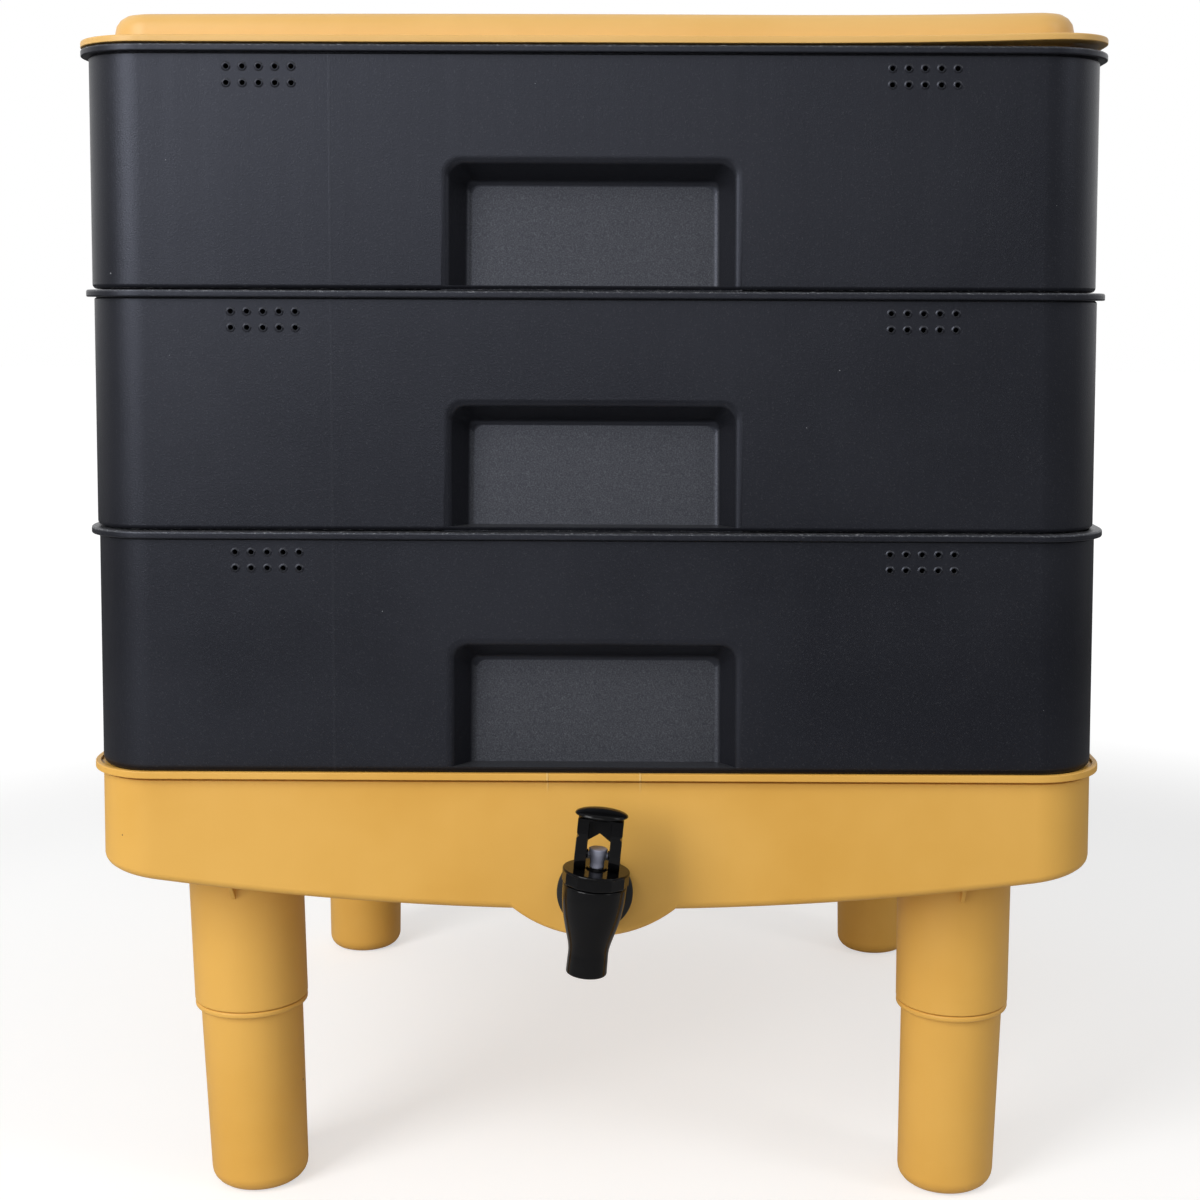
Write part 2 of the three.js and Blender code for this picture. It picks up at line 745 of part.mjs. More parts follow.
const mustard = "#dcab57";
const trayBlack = "#2b2c31";
const glossBlack = "#141416";
const greyStem = "#8d8fa0";
const rubberBlack = "#1a1a1b";

const wormery = new THREE.Group();
const stack = new THREE.Group();
stack.position.set(...originShift, 0);
wormery.add(stack);

stack.add(part("sump_base", sumpGeometry(), mustard, 0.5));
const legNames = ["front_left_leg", "front_right_leg", "back_left_leg", "back_right_leg"];
legPlaces().forEach(([x, y], place) => {
  const tube = part(legNames[place] + "_tube", tubeGeometry([x, y]), mustard, 0.5);
  const leg = part(legNames[place], legGeometry(), mustard, 0.5);
  tube.position.set(x, y, 0);
  leg.position.set(x, y, 0);
  stack.add(tube, leg);
});

["bottom_tray", "middle_tray", "top_tray"].forEach((name, level) => {
  const tray = part(name, trayGeometry(), trayBlack, 0.6);
  tray.position.set(level * trayLean, 0, sumpRimTop + seatGap + level * trayPitch);
  stack.add(tray);
});

const lidSeat = new THREE.Group(); // at the lid's left edge, about which it tips
lidSeat.position.set(2 * trayLean - rimHalf, 0, sumpRimTop + 3 * trayPitch + seatGap);
lidSeat.rotation.y = -THREE.MathUtils.degToRad(lidTilt);
const lid = part("lid", lidGeometry(), mustard, 0.5);
lid.position.x = rimHalf;
lidSeat.add(lid);
stack.add(lidSeat);

const tap = new THREE.Group(); // at the inlet axis, on the wall's outer face
tap.position.set(tapOffset, -wallHalf, tapHeight);
tap.rotation.y = THREE.MathUtils.degToRad(tapLean);
stack.add(tap);
tap.add(part("tap_body", tapBodyGeometry(), glossBlack, 0.2));
const outerWasher = washer(washerRadius, -washerThickness - seatGap);
tap.add(part("tap_washer", outerWasher, rubberBlack, 0.7));
const innerWasher = washer(innerWasherRadius, sumpWall + seatGap);
tap.add(part("inner_washer", innerWasher, rubberBlack, 0.7));
tap.add(part("tap_nut", nutGeometry(), glossBlack, 0.4));

const tapAxis = new THREE.Group(); // the barrel's own axis
tapAxis.position.y = -tapReach;
tap.add(tapAxis);
tapAxis.add(part("tap_bonnet", bonnetGeometry(), glossBlack, 0.25));
tapAxis.add(part("valve_stem", stemGeometry(), greyStem, 0.4));
tapAxis.add(part("valve_plug", plugGeometry(), greyStem, 0.6));
tapAxis.add(part("handle_pin", rodAcross(pinRadius, pinLength), greyStem, 0.4));
tapAxis.add(part("tap_handle", handleGeometry(), glossBlack, 0.2));

export default wormery;
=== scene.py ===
# A stacking wormery: three black working trays and a mustard lid over a sump base on legs, with a tap.
# Metres, +Z up. The front with the tap faces -Y and the ground is z = 0.
import json
import math

import bpy
from mathutils import Matrix, Vector


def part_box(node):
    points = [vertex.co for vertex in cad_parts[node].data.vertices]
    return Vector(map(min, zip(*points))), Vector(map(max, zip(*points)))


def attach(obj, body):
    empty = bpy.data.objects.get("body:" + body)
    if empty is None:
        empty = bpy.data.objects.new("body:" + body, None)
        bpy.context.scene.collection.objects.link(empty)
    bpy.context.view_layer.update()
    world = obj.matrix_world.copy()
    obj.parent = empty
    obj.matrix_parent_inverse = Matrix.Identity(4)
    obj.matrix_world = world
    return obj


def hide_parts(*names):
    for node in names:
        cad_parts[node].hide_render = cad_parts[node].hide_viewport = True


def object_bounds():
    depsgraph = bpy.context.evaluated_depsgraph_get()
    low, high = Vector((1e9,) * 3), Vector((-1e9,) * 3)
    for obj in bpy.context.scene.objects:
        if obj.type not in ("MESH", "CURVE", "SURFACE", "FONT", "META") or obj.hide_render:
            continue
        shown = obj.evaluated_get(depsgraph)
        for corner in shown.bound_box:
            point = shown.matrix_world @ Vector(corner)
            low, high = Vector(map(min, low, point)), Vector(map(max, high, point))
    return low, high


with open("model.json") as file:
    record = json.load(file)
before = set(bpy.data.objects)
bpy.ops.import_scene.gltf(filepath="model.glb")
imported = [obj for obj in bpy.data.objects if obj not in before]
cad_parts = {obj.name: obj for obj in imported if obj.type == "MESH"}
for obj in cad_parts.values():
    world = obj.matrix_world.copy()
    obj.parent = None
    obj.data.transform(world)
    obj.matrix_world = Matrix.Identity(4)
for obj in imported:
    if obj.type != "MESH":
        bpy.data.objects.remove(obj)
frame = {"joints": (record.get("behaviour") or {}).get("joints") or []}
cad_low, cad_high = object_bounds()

QUARTER = math.pi / 2
FULL_TURN = 2 * math.pi
SPECK = 0.001  # the plane that an outline starts from, before it is merged to one point
MERGE = 0.000004
SOFT_ANGLE = math.radians(28)  # edges flatter than this are shaded smooth
SHARP_ANGLE = math.radians(40)  # and edges sharper than this are rounded off
OVERRUN = 0.001  # how far a cut passes through its wall

# The square that all the pieces of the stack share, from the frame
RIM_OVERHANG = 0.0035
base_low, base_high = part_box("sump_base")
tray_low, tray_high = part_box("middle_tray")
RIM_HALF = (tray_high.x - tray_low.x) / 2
WALL_HALF = RIM_HALF - RIM_OVERHANG
RIM_CORNER = 0.033
STRAIGHT_HALF = RIM_HALF - RIM_CORNER  # where the rounded corners begin, the same for every ring
MIDDLE_Y = (tray_low.y + tray_high.y) / 2
CORNER_STEPS = 14

# Faces round a turned piece
ROUND_STEPS = 64
SMALL_STEPS = 48
RING_STEPS = 72
BELLY_STEPS = 96
PIN_STEPS = 32
BORE_STEPS = 40
AIR_STEPS = 20
FLOOR_STEPS = 16

# Radii of moulded edges
CRISP = 0.0003
FINE = 0.0004
THIN = 0.0005
SMALL = 0.0006
SOFT = 0.0008
ROUND = 0.0009
BROAD = 0.0012
FULL = 0.0015
GENEROUS = 0.002
HAIR = 0.0001  # keeps two arcs that meet from closing up the flat between them


# Modelling: outlines, walls round the square, turned pieces

def only(piece):
    """Leaves this piece alone selected and active."""
    bpy.ops.object.select_all(action="DESELECT")
    piece.select_set(True)
    bpy.context.view_layer.objects.active = piece
    return piece


def edit(piece):
    only(piece)
    bpy.ops.object.mode_set(mode="EDIT")
    bpy.ops.mesh.select_all(action="SELECT")


def start(name, point):
    """A new piece in edit mode, with one vertex ready to be drawn out along an outline."""
    bpy.ops.object.select_all(action="DESELECT")
    bpy.ops.mesh.primitive_plane_add(size=SPECK)
    piece = bpy.context.object
    piece.name = piece.data.name = name
    bpy.ops.object.mode_set(mode="EDIT")
    bpy.ops.mesh.merge(type="CENTER")
    bpy.ops.transform.translate(value=point)
    return piece


def push(step):
    bpy.ops.mesh.extrude_region_move(TRANSFORM_OT_translate={"value": step})


def outline(name, points):
    """Draws an open outline from point to point and selects all of it."""
    points = [Vector(point) for point in points]
    piece = start(name, points[0])
    for here, there in zip(points, points[1:]):
        push(there - here)
    bpy.ops.mesh.select_all(action="SELECT")
    return piece


def close_seams():
    bpy.ops.mesh.select_all(action="SELECT")
    bpy.ops.mesh.remove_doubles(threshold=MERGE)


def done():
    """Turns all faces outwards and leaves edit mode."""
    bpy.ops.mesh.select_all(action="SELECT")
    bpy.ops.mesh.normals_make_consistent(inside=False)
    bpy.ops.object.mode_set(mode="OBJECT")


def rounded(corners, steps=4):
    """Points of a section through corners of (across, height), or (across, height, radius) for an arc."""
    points = []
    for number, (across, height, *arc) in enumerate(corners):
        here = Vector((across, height))
        if not arc:
            points.append(here)
            continue
        radius = arc[0]
        before = (Vector(corners[number - 1][:2]) - here).normalized()
        after = (Vector(corners[number + 1][:2]) - here).normalized()
        half_angle = before.angle(after) / 2
        centre = here + (before + after).normalized() * radius / math.sin(half_angle)
        first = here + before * radius / math.tan(half_angle) - centre
        sweep = first.angle_signed(here + after * radius / math.tan(half_angle) - centre)
        for step in range(steps + 1):
            points.append(centre + Matrix.Rotation(-sweep * step / steps, 2) @ first)
    return points


def carry_round(straight, turn_steps, across_steps=1):
    """Carries the selected section round a rounded square: four straights and four corners."""
    for turn in range(4):
        way = Matrix.Rotation(turn * QUARTER, 3, "Z")
        steps = across_steps if turn % 2 else 1
        for _ in range(steps):
            push(way @ Vector((0, 2 * straight / steps, 0)))
        corner = way @ Vector((straight, straight, 0))
        bpy.ops.mesh.spin(steps=turn_steps, angle=-QUARTER, center=corner, axis=(0, 0, 1))
    close_seams()


def square_wall(name, corners, across_steps=1, turn_steps=CORNER_STEPS):
    """A wall round the rounded square, from its section's corners of (half width, height, radius)."""
    section = rounded(corners)
    piece = outline(name, [(across, -STRAIGHT_HALF, height) for across, height in section])
    carry_round(STRAIGHT_HALF, turn_steps, across_steps)
    return piece


def select_open_edges():
    bpy.ops.mesh.select_all(action="DESELECT")
    bpy.ops.mesh.select_mode(type="EDGE")
    bpy.ops.mesh.select_non_manifold(
        use_wire=False, use_boundary=True, use_multi_face=False, use_non_contiguous=False, use_verts=False
    )


def fill_flat():
    """Closes every opening with one flat face."""
    select_open_edges()
    bpy.ops.mesh.fill_holes(sides=0)
    bpy.ops.mesh.select_mode(type="VERT")


def strip_cap(piece, height):
    """Closes an opening at a height with strips that run from front to back."""
    near = 0.00002
    select_open_edges()
    bpy.ops.object.mode_set(mode="OBJECT")
    points = piece.data.vertices
    for edge in piece.data.edges:
        one, other = (points[end].co for end in edge.vertices)
        level = abs(one.z - height) < near and abs(other.z - height) < near
        side = abs(one.y - other.y) > STRAIGHT_HALF
        edge.select = edge.select and level and not side
    bpy.ops.object.mode_set(mode="EDIT")
    bpy.ops.mesh.bridge_edge_loops()
    bpy.ops.mesh.select_mode(type="VERT")


def turned(name, section, centre=(0, 0, 0), steps=ROUND_STEPS, axis="Z"):
    """A turned piece from its section, given as (radius, distance along the axis)."""
    centre = Vector(centre)
    if axis == "Z":
        points = [centre + Vector((radius, 0, along)) for radius, along in section]
        direction = (0, 0, 1)
    else:
        points = [centre + Vector((radius, along, 0)) for radius, along in section]
        direction = (0, 1, 0)
    piece = outline(name, points)
    bpy.ops.mesh.spin(steps=steps, angle=FULL_TURN, center=centre, axis=direction)
    close_seams()
    bpy.ops.mesh.dissolve_degenerate(threshold=MERGE)
    done()
    return piece


def rod(name, radius, first, last, centre=(0, 0, 0), steps=SMALL_STEPS, axis="Z"):
    """A plain round rod between two places on its axis."""
    return turned(name, [(0, first), (radius, first), (radius, last), (0, last)], centre, steps, axis)


def slab(name, points, thickness):
    """A plate from a closed outline, thickened evenly to both sides of it."""
    points = [Vector(point) for point in points]
    half = Vector(thickness) / 2
    piece = outline(name, [point - half for point in points])
    bpy.ops.mesh.edge_face_add()
    push(2 * half)
    done()
    return piece


def apply(piece, modifier):
    only(piece)
    bpy.ops.object.modifier_apply(modifier=modifier.name)


def combine(piece, tool, operation="DIFFERENCE"):
    """Cuts the tool out of the piece, or joins it to the piece, and uses the tool up."""
    change = piece.modifiers.new(operation.lower(), "BOOLEAN")
    change.operation = operation
    change.object = tool
    change.solver = "EXACT"
    apply(piece, change)
    bpy.data.objects.remove(tool)
    return piece


def soften(piece, width, segments=2):
    """Rounds all the sharp edges of a piece."""
    change = piece.modifiers.new("soft edges", "BEVEL")
    change.width = width
    change.segments = segments
    change.limit_method = "ANGLE"
    change.angle_limit = SHARP_ANGLE
    apply(piece, change)
    return piece


def copy_of(piece, name, move=(0, 0, 0)):
    only(piece)
    bpy.ops.object.duplicate()
    copy = bpy.context.object
    copy.name = copy.data.name = name
    edit(copy)
    bpy.ops.transform.translate(value=move)
    bpy.ops.object.mode_set(mode="OBJECT")
    return copy


def copies(piece, name, places):
    """Copies of a piece at many places, joined; the piece itself is used up."""
    whole = joined([copy_of(piece, name, spot) for spot in places], name)
    bpy.data.objects.remove(piece)
    return whole


def middle_of(node, height=0.0):
    """The middle of a CAD node's plan, at a height."""
    low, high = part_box(node)
    return Vector(((low.x + high.x) / 2, (low.y + high.y) / 2, height))


def shift(piece, move):
    edit(piece)
    bpy.ops.transform.translate(value=move)
    bpy.ops.object.mode_set(mode="OBJECT")
    return piece


def turn(piece, angle, axis, centre):
    """Turns a piece's mesh by the right-hand rule about an axis through a point."""
    edit(piece)
    bpy.ops.transform.rotate(value=-angle, orient_axis=axis, center_override=centre)
    bpy.ops.object.mode_set(mode="OBJECT")
    return piece


def joined(pieces, name):
    bpy.ops.object.select_all(action="DESELECT")
    for piece in pieces:
        piece.select_set(True)
    bpy.context.view_layer.objects.active = pieces[0]
    bpy.ops.object.join()
    whole = bpy.context.object
    whole.name = whole.data.name = name
    return whole


def reshape(piece, rule):
    """Moves every point of a piece by a rule."""
    for vertex in piece.data.vertices:
        vertex.co = rule(vertex.co.copy())
    piece.data.update()
    return piece


def smooth(piece):
    """Smooth shading, with the flats kept flat beside their rounded edges."""
    only(piece)
    bpy.ops.object.shade_smooth_by_angle(angle=SOFT_ANGLE)
    weights = piece.modifiers.new("weighted normals", "WEIGHTED_NORMAL")
    weights.keep_sharp = True
    weights.weight = 100
    apply(piece, weights)
    return piece


def place(piece, node, body, material):
    """Finishes a piece, puts it in the place of its CAD node and lets it ride on its body."""
    smooth(piece)
    piece.data.materials.clear()
    piece.data.materials.append(material)
    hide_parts(node)
    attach(piece, body)
    return piece


# Shader effects that several materials use

BAND_CORE = 0.4  # the share of a band that is full before its edge fades
SCUFF_LEVEL = 0.86  # the noise above which a surface is rubbed, with no scuffs asked for
SCUFF_RANGE = 0.3  # and how far the full amount lowers it
SCUFF_FADE = 0.06


def group(name, inputs, outputs):
    """A new node group with float inputs {name: value} and named float outputs."""
    tree = bpy.data.node_groups.new(name, "ShaderNodeTree")
    for label, value in inputs.items():
        socket = tree.interface.new_socket(label, in_out="INPUT", socket_type="NodeSocketFloat")
        socket.default_value = value
    for label in outputs:
        tree.interface.new_socket(label, in_out="OUTPUT", socket_type="NodeSocketFloat")
    return tree, tree.nodes.new("NodeGroupInput"), tree.nodes.new("NodeGroupOutput")


def feed(tree, socket, value):
    """Sets a socket to a plain value, or links it to another node's output."""
    if isinstance(value, bpy.types.NodeSocket):
        tree.links.new(value, socket)
    else:
        socket.default_value = value


def add(tree, kind, values=None, **settings):
    """A shader node with its settings, and its inputs set to numbers or fed by other sockets."""
    made = tree.nodes.new(kind)
    for label, value in settings.items():
        setattr(made, label, value)
    for label, value in (values or {}).items():
        feed(tree, made.inputs[label], value)
    return made


def maths(tree, operation, first, second=0.0, third=0.0):
    made = add(tree, "ShaderNodeMath", {0: first, 1: second, 2: third}, operation=operation)
    return made.outputs[0]


def ramp(tree, value, low, high, start=0.0, end=1.0):
    """Brings a value from the range low to high smoothly to the range start to end."""
    made = add(
        tree,
        "ShaderNodeMapRange",
        {"Value": value, "From Min": low, "From Max": high, "To Min": start, "To Max": end},
        interpolation_type="SMOOTHSTEP",
    )
    return made.outputs["Result"]


def place_on_piece(tree):
    return add(tree, "ShaderNodeTexCoord").outputs["Object"]


def make_moulded_grain():
    """The fine grain of a moulded skin, and the slow unevenness of its colour and surface."""
    tree, given, out = group(
        "moulded grain", {"Grain Scale": 2600.0, "Cloud Scale": 14.0}, ["Grain", "Cloud", "Streak"]
    )
    where = place_on_piece(tree)
    grain = add(
        tree, "ShaderNodeTexNoise", {"Vector": where, "Scale": given.outputs["Grain Scale"], "Detail": 3.0}
    )
    cloud = add(
        tree,
        "ShaderNodeTexNoise",
        {"Vector": where, "Scale": given.outputs["Cloud Scale"], "Detail": 4.0, "Roughness": 0.55},
    )
    flow = add(tree, "ShaderNodeMapping", {"Vector": where, "Scale": (60.0, 60.0, 3.0)})
    streak = add(tree, "ShaderNodeTexNoise", {"Vector": flow.outputs[0], "Scale": 1.0, "Detail": 3.0})
    tree.links.new(grain.outputs["Fac"], out.inputs["Grain"])
    tree.links.new(cloud.outputs["Fac"], out.inputs["Cloud"])
    tree.links.new(streak.outputs["Fac"], out.inputs["Streak"])
    return tree


def make_specks():
    """Tiny round specks, scattered in a few of the cells of a grid."""
    tree, given, out = group("specks", {"Cells per Metre": 60.0, "Size": 0.03, "Share": 0.2}, ["Mask"])
    cells = add(
        tree,
        "ShaderNodeTexVoronoi",
        {"Vector": place_on_piece(tree), "Scale": given.outputs["Cells per Metre"], "Randomness": 1.0},
    )
    parts = add(tree, "ShaderNodeSeparateColor", {"Color": cells.outputs["Color"]})
    chosen = maths(tree, "LESS_THAN", parts.outputs["Red"], given.outputs["Share"])
    size = maths(tree, "MULTIPLY", given.outputs["Size"], parts.outputs["Green"])
    inside = maths(tree, "LESS_THAN", cells.outputs["Distance"], size)
    tree.links.new(maths(tree, "MULTIPLY", chosen, inside), out.inputs["Mask"])
    return tree


def make_band():
    """A soft-edged band round one value, such as a line at one height."""
    tree, given, out = group("band", {"Value": 0.0, "Middle": 0.0, "Half Width": 0.001}, ["Mask"])
    off = maths(tree, "ABSOLUTE", maths(tree, "SUBTRACT", given.outputs["Value"], given.outputs["Middle"]))
    near = maths(tree, "DIVIDE", off, given.outputs["Half Width"])
    tree.links.new(ramp(tree, near, BAND_CORE, 1.0, 1.0, 0.0), out.inputs["Mask"])
    return tree


def make_scuffs():
    """Short scratches and rubbed patches, where two stretched noises are both high."""
    tree, given, out = group("scuffs", {"Scale": 90.0, "Amount": 0.5}, ["Mask"])
    where = place_on_piece(tree)
    flow = add(
        tree, "ShaderNodeMapping", {"Vector": where, "Scale": (1.0, 1.0, 4.0), "Rotation": (0.3, 0.2, 0.1)}
    )
    patch = add(
        tree,
        "ShaderNodeTexNoise",
        {"Vector": flow.outputs[0], "Scale": given.outputs["Scale"], "Detail": 5.0, "Roughness": 0.7},
    )
    lowered = maths(tree, "MULTIPLY", given.outputs["Amount"], SCUFF_RANGE)
    level = maths(tree, "SUBTRACT", SCUFF_LEVEL, lowered)
    over = maths(tree, "SUBTRACT", patch.outputs["Fac"], level)
    tree.links.new(ramp(tree, over, 0.0, SCUFF_FADE), out.inputs["Mask"])
    return tree


GRAIN = make_moulded_grain()
SPECKS = make_specks()
BAND = make_band()
SCUFFS = make_scuffs()


def use(tree, effect, **values):
    made = tree.nodes.new("ShaderNodeGroup")
    made.node_tree = effect
    for label, value in values.items():
        feed(tree, made.inputs[label.replace("_", " ")], value)
    return made.outputs


def material(name, specular):
    made = bpy.data.materials.new(name)
    made.use_nodes = True
    tree = made.node_tree
    shader = tree.nodes["Principled BSDF"]
    shader.inputs["Specular IOR Level"].default_value = specular
    return made, tree, shader


def tint(tree, mask, under, over):
    """Mixes two colours by a mask; a Mix node's colours are its sockets 6, 7 and, coming out, 2."""
    made = add(tree, "ShaderNodeMix", data_type="RGBA")
    for number, value in ((0, mask), (6, under), (7, over)):
        feed(tree, made.inputs[number], value)
    return made.outputs[2]


def cover(tree, shader, colour, roughness):
    """Lets a colour and a roughness that change over the surface feed the shader."""
    tree.links.new(colour, shader.inputs["Base Color"])
    tree.links.new(roughness, shader.inputs["Roughness"])


def by(tree, first, second):
    """One mask or value times another."""
    return maths(tree, "MULTIPLY", first, second)


def bump(tree, shader, height, distance, strength=1.0, base=None):
    made = add(tree, "ShaderNodeBump", {"Height": height, "Distance": distance, "Strength": strength})
    if base is not None:
        tree.links.new(base, made.inputs["Normal"])
    tree.links.new(made.outputs["Normal"], shader.inputs["Normal"])
    return made.outputs["Normal"]


MUSTARD = (0.700, 0.385, 0.072, 1)
MUSTARD_PALE = (0.735, 0.412, 0.086, 1)
MUSTARD_DEEP = (0.660, 0.348, 0.058, 1)
# The lid's mustard: paler and less saturated than the base's
LID_MUSTARD = (0.700, 0.425, 0.134, 1)
LID_MUSTARD_PALE = (0.725, 0.447, 0.150, 1)
LID_MUSTARD_DEEP = (0.670, 0.395, 0.114, 1)
SPECK_BROWN = (0.22, 0.10, 0.03, 1)
RUB_PALE = (0.86, 0.62, 0.28, 1)
CLOUD = (0.3, 0.7)  # the range of a slow noise over which one tone runs into the other
PLASTIC_SPECULAR = 0.4
MUSTARD_ROUGHNESS = (0.38, 0.47)
MUSTARD_GRAIN_HEIGHT = 0.00008
STREAKS = (0.35, 0.8)  # the range of the flow's noise over which its streaks come up
STREAK_SHARE = 0.25
RUB_SHARE = 0.25
WAVE_HEIGHT = 0.0012  # of the slow waves that a moulded wall cools with
INSERT_LINES_X = (-0.0200, 0.0213)  # where the mould's insert over the tap ended
INSERT_LINE_HALF = 0.0006
INSERT_LINE_HEIGHT = 0.0002
INSERT_LINE_SHARE = 0.35
INSERT_FADE = (0.012, 0.004)  # under the rim's top, where the lines fade in
FRONT_WALL_Y = -0.15  # the front wall lies before this


def mustard_plastic(name="mustard_plastic", deep=MUSTARD_DEEP, middle=MUSTARD, pale=MUSTARD_PALE):
    made, tree, shader = material(name, PLASTIC_SPECULAR)
    grain = use(tree, GRAIN, Grain_Scale=2200.0, Cloud_Scale=9.0)
    colour = tint(tree, ramp(tree, grain["Cloud"], *CLOUD), deep, pale)
    colour = tint(tree, ramp(tree, grain["Streak"], *STREAKS, 0.0, STREAK_SHARE), colour, middle)
    dirt = use(tree, SPECKS, Cells_per_Metre=42.0, Size=0.035, Share=0.16)["Mask"]
    colour = tint(tree, dirt, colour, SPECK_BROWN)
    rubbed = use(tree, SCUFFS, Scale=70.0, Amount=0.42)["Mask"]
    colour = tint(tree, by(tree, rubbed, RUB_SHARE), colour, RUB_PALE)
    cover(tree, shader, colour, ramp(tree, grain["Cloud"], *CLOUD, *MUSTARD_ROUGHNESS))
    slow = bump(tree, shader, grain["Streak"], WAVE_HEIGHT, strength=0.25)
    bump(tree, shader, grain["Grain"], MUSTARD_GRAIN_HEIGHT, strength=0.35, base=slow)
    return made


def base_plastic():
    """The mustard of the base, with the two lines that its mould insert left over the tap."""
    made = mustard_plastic("base_plastic")
    tree = made.node_tree
    shader = tree.nodes["Principled BSDF"]
    spots = add(tree, "ShaderNodeSeparateXYZ", {"Vector": place_on_piece(tree)}).outputs
    lines = None
    for middle in INSERT_LINES_X:
        line = use(tree, BAND, Value=spots["X"], Middle=middle, Half_Width=INSERT_LINE_HALF)["Mask"]
        lines = line if lines is None else maths(tree, "MAXIMUM", lines, line)
    front = maths(tree, "LESS_THAN", spots["Y"], FRONT_WALL_Y)
    upper = ramp(tree, spots["Z"], *(base_high.z - down for down in INSERT_FADE))
    lines = by(tree, by(tree, lines, front), upper)
    under = shader.inputs["Base Color"].links[0].from_socket
    colour = tint(tree, by(tree, lines, INSERT_LINE_SHARE), under, RUB_PALE)
    tree.links.new(colour, shader.inputs["Base Color"])
    before = shader.inputs["Normal"].links[0].from_socket
    bump(tree, shader, lines, INSERT_LINE_HEIGHT, strength=1.0, base=before)
    return made


TRAY_BLACK = (0.0056, 0.0058, 0.0078, 1)
TRAY_WORN = (0.0092, 0.0095, 0.0122, 1)
TRAY_SHEEN = (0.76, 0.81, 1.0, 1)
TRAY_SPECULAR = 0.42
TRAY_ROUGHNESS = (0.34, 0.42)
TRAY_GRAIN_HEIGHT = 0.00012
# Pale dust, also used as the colour of the painted reflection on faces that look upwards
DUST_AND_SHEEN_PALE = (0.30, 0.31, 0.33, 1)
DUST_SHARE = 0.7  # of each speck
DUST_FILM = 0.06  # on the peaks of the grain
GRAIN_PEAKS = (0.58, 0.74)
PAINTED_SHEEN_SHARE = 0.08  # painted reflection: faces that look a little upwards, such as the pockets' backs, are made paler
PAINTED_SHEEN_SPREAD = (0.4, 1.6)  # the least and the most of that from place to place
PAINTED_SHEEN_RISE = (0.05, 0.10)  # the rise of a face's normal from which that painted reflection starts
MOULD_LINE_X = -0.115
MOULD_LINE_HALF = 0.0008
MOULD_LINE_SHARE = 0.01
MOULD_LINE_HEIGHT = 0.00002
SCUFF_WHITE = (0.55, 0.56, 0.58, 1)
SCUFF_SHARE = 0.35
NICK_SHARE = 0.3
RIM_BAND = (0.0015, 0.0045)  # above and below each tray's rim, where the scuffs fade out
RIM_EDGE = (0.0006, 0.0011)  # and the nicks


def tray_plastic():
    made, tree, shader = material("tray_plastic", TRAY_SPECULAR)
    shader.inputs["Specular Tint"].default_value = TRAY_SHEEN
    grain = use(tree, GRAIN, Grain_Scale=1700.0, Cloud_Scale=7.0)
    colour = tint(tree, ramp(tree, grain["Cloud"], *CLOUD), TRAY_BLACK, TRAY_WORN)
    film = ramp(tree, grain["Grain"], *GRAIN_PEAKS, 0.0, DUST_FILM)
    colour = tint(tree, film, colour, DUST_AND_SHEEN_PALE)
    dust = use(tree, SPECKS, Cells_per_Metre=75.0, Size=0.035, Share=0.18)["Mask"]
    colour = tint(tree, by(tree, dust, DUST_SHARE), colour, DUST_AND_SHEEN_PALE)
    # Painted reflection: faces that look a little upwards get a paler tone that stands in for the light above
    # them.
    normal = add(tree, "ShaderNodeNewGeometry").outputs["Normal"]
    upward = add(tree, "ShaderNodeSeparateXYZ", {"Vector": normal}).outputs["Z"]
    painted_sheen = ramp(tree, upward, *PAINTED_SHEEN_RISE, 0.0, PAINTED_SHEEN_SHARE)
    painted_sheen = by(tree, painted_sheen, ramp(tree, grain["Grain"], *CLOUD, *PAINTED_SHEEN_SPREAD))
    colour = tint(tree, painted_sheen, colour, DUST_AND_SHEEN_PALE)
    spots = add(tree, "ShaderNodeSeparateXYZ", {"Vector": place_on_piece(tree)}).outputs
    line = use(tree, BAND, Value=spots["X"], Middle=MOULD_LINE_X, Half_Width=MOULD_LINE_HALF)["Mask"]
    colour = tint(tree, by(tree, line, MOULD_LINE_SHARE), colour, DUST_AND_SHEEN_PALE)
    level = maths(tree, "SUBTRACT", spots["Z"], base_high.z)
    pitch = tray_high.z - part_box("bottom_tray")[1].z
    from_rim = maths(tree, "PINGPONG", level, pitch / 2)
    on_tray = maths(tree, "GREATER_THAN", level, pitch / 2)
    near_rim = by(tree, ramp(tree, from_rim, *RIM_BAND, 1.0, 0.0), on_tray)
    scuffs = by(tree, near_rim, use(tree, SCUFFS, Scale=210.0, Amount=0.62)["Mask"])
    colour = tint(tree, by(tree, scuffs, SCUFF_SHARE), colour, SCUFF_WHITE)
    on_edge = by(tree, ramp(tree, from_rim, *RIM_EDGE, 1.0, 0.0), on_tray)
    nicks = by(tree, on_edge, use(tree, SCUFFS, Scale=620.0, Amount=1.0)["Mask"])
    colour = tint(tree, by(tree, nicks, NICK_SHARE), colour, SCUFF_WHITE)
    cover(tree, shader, colour, ramp(tree, grain["Cloud"], *CLOUD, *TRAY_ROUGHNESS))
    slow = bump(tree, shader, grain["Streak"], WAVE_HEIGHT, strength=0.15)
    fine = bump(tree, shader, grain["Grain"], TRAY_GRAIN_HEIGHT, strength=0.6, base=slow)
    bump(tree, shader, line, MOULD_LINE_HEIGHT, strength=1.0, base=fine)
    return made


TAP_BLACK = (0.0022, 0.0022, 0.0026, 1)
TAP_GREY = (0.0045, 0.0045, 0.0050, 1)
TAP_SPECULAR = 0.18
TAP_CLOUD = (0.25, 0.75)
TAP_ROUGHNESS = (0.10, 0.20)
TAP_WAVE_HEIGHT = 0.0006
TAP_GRAIN_HEIGHT = 0.00004


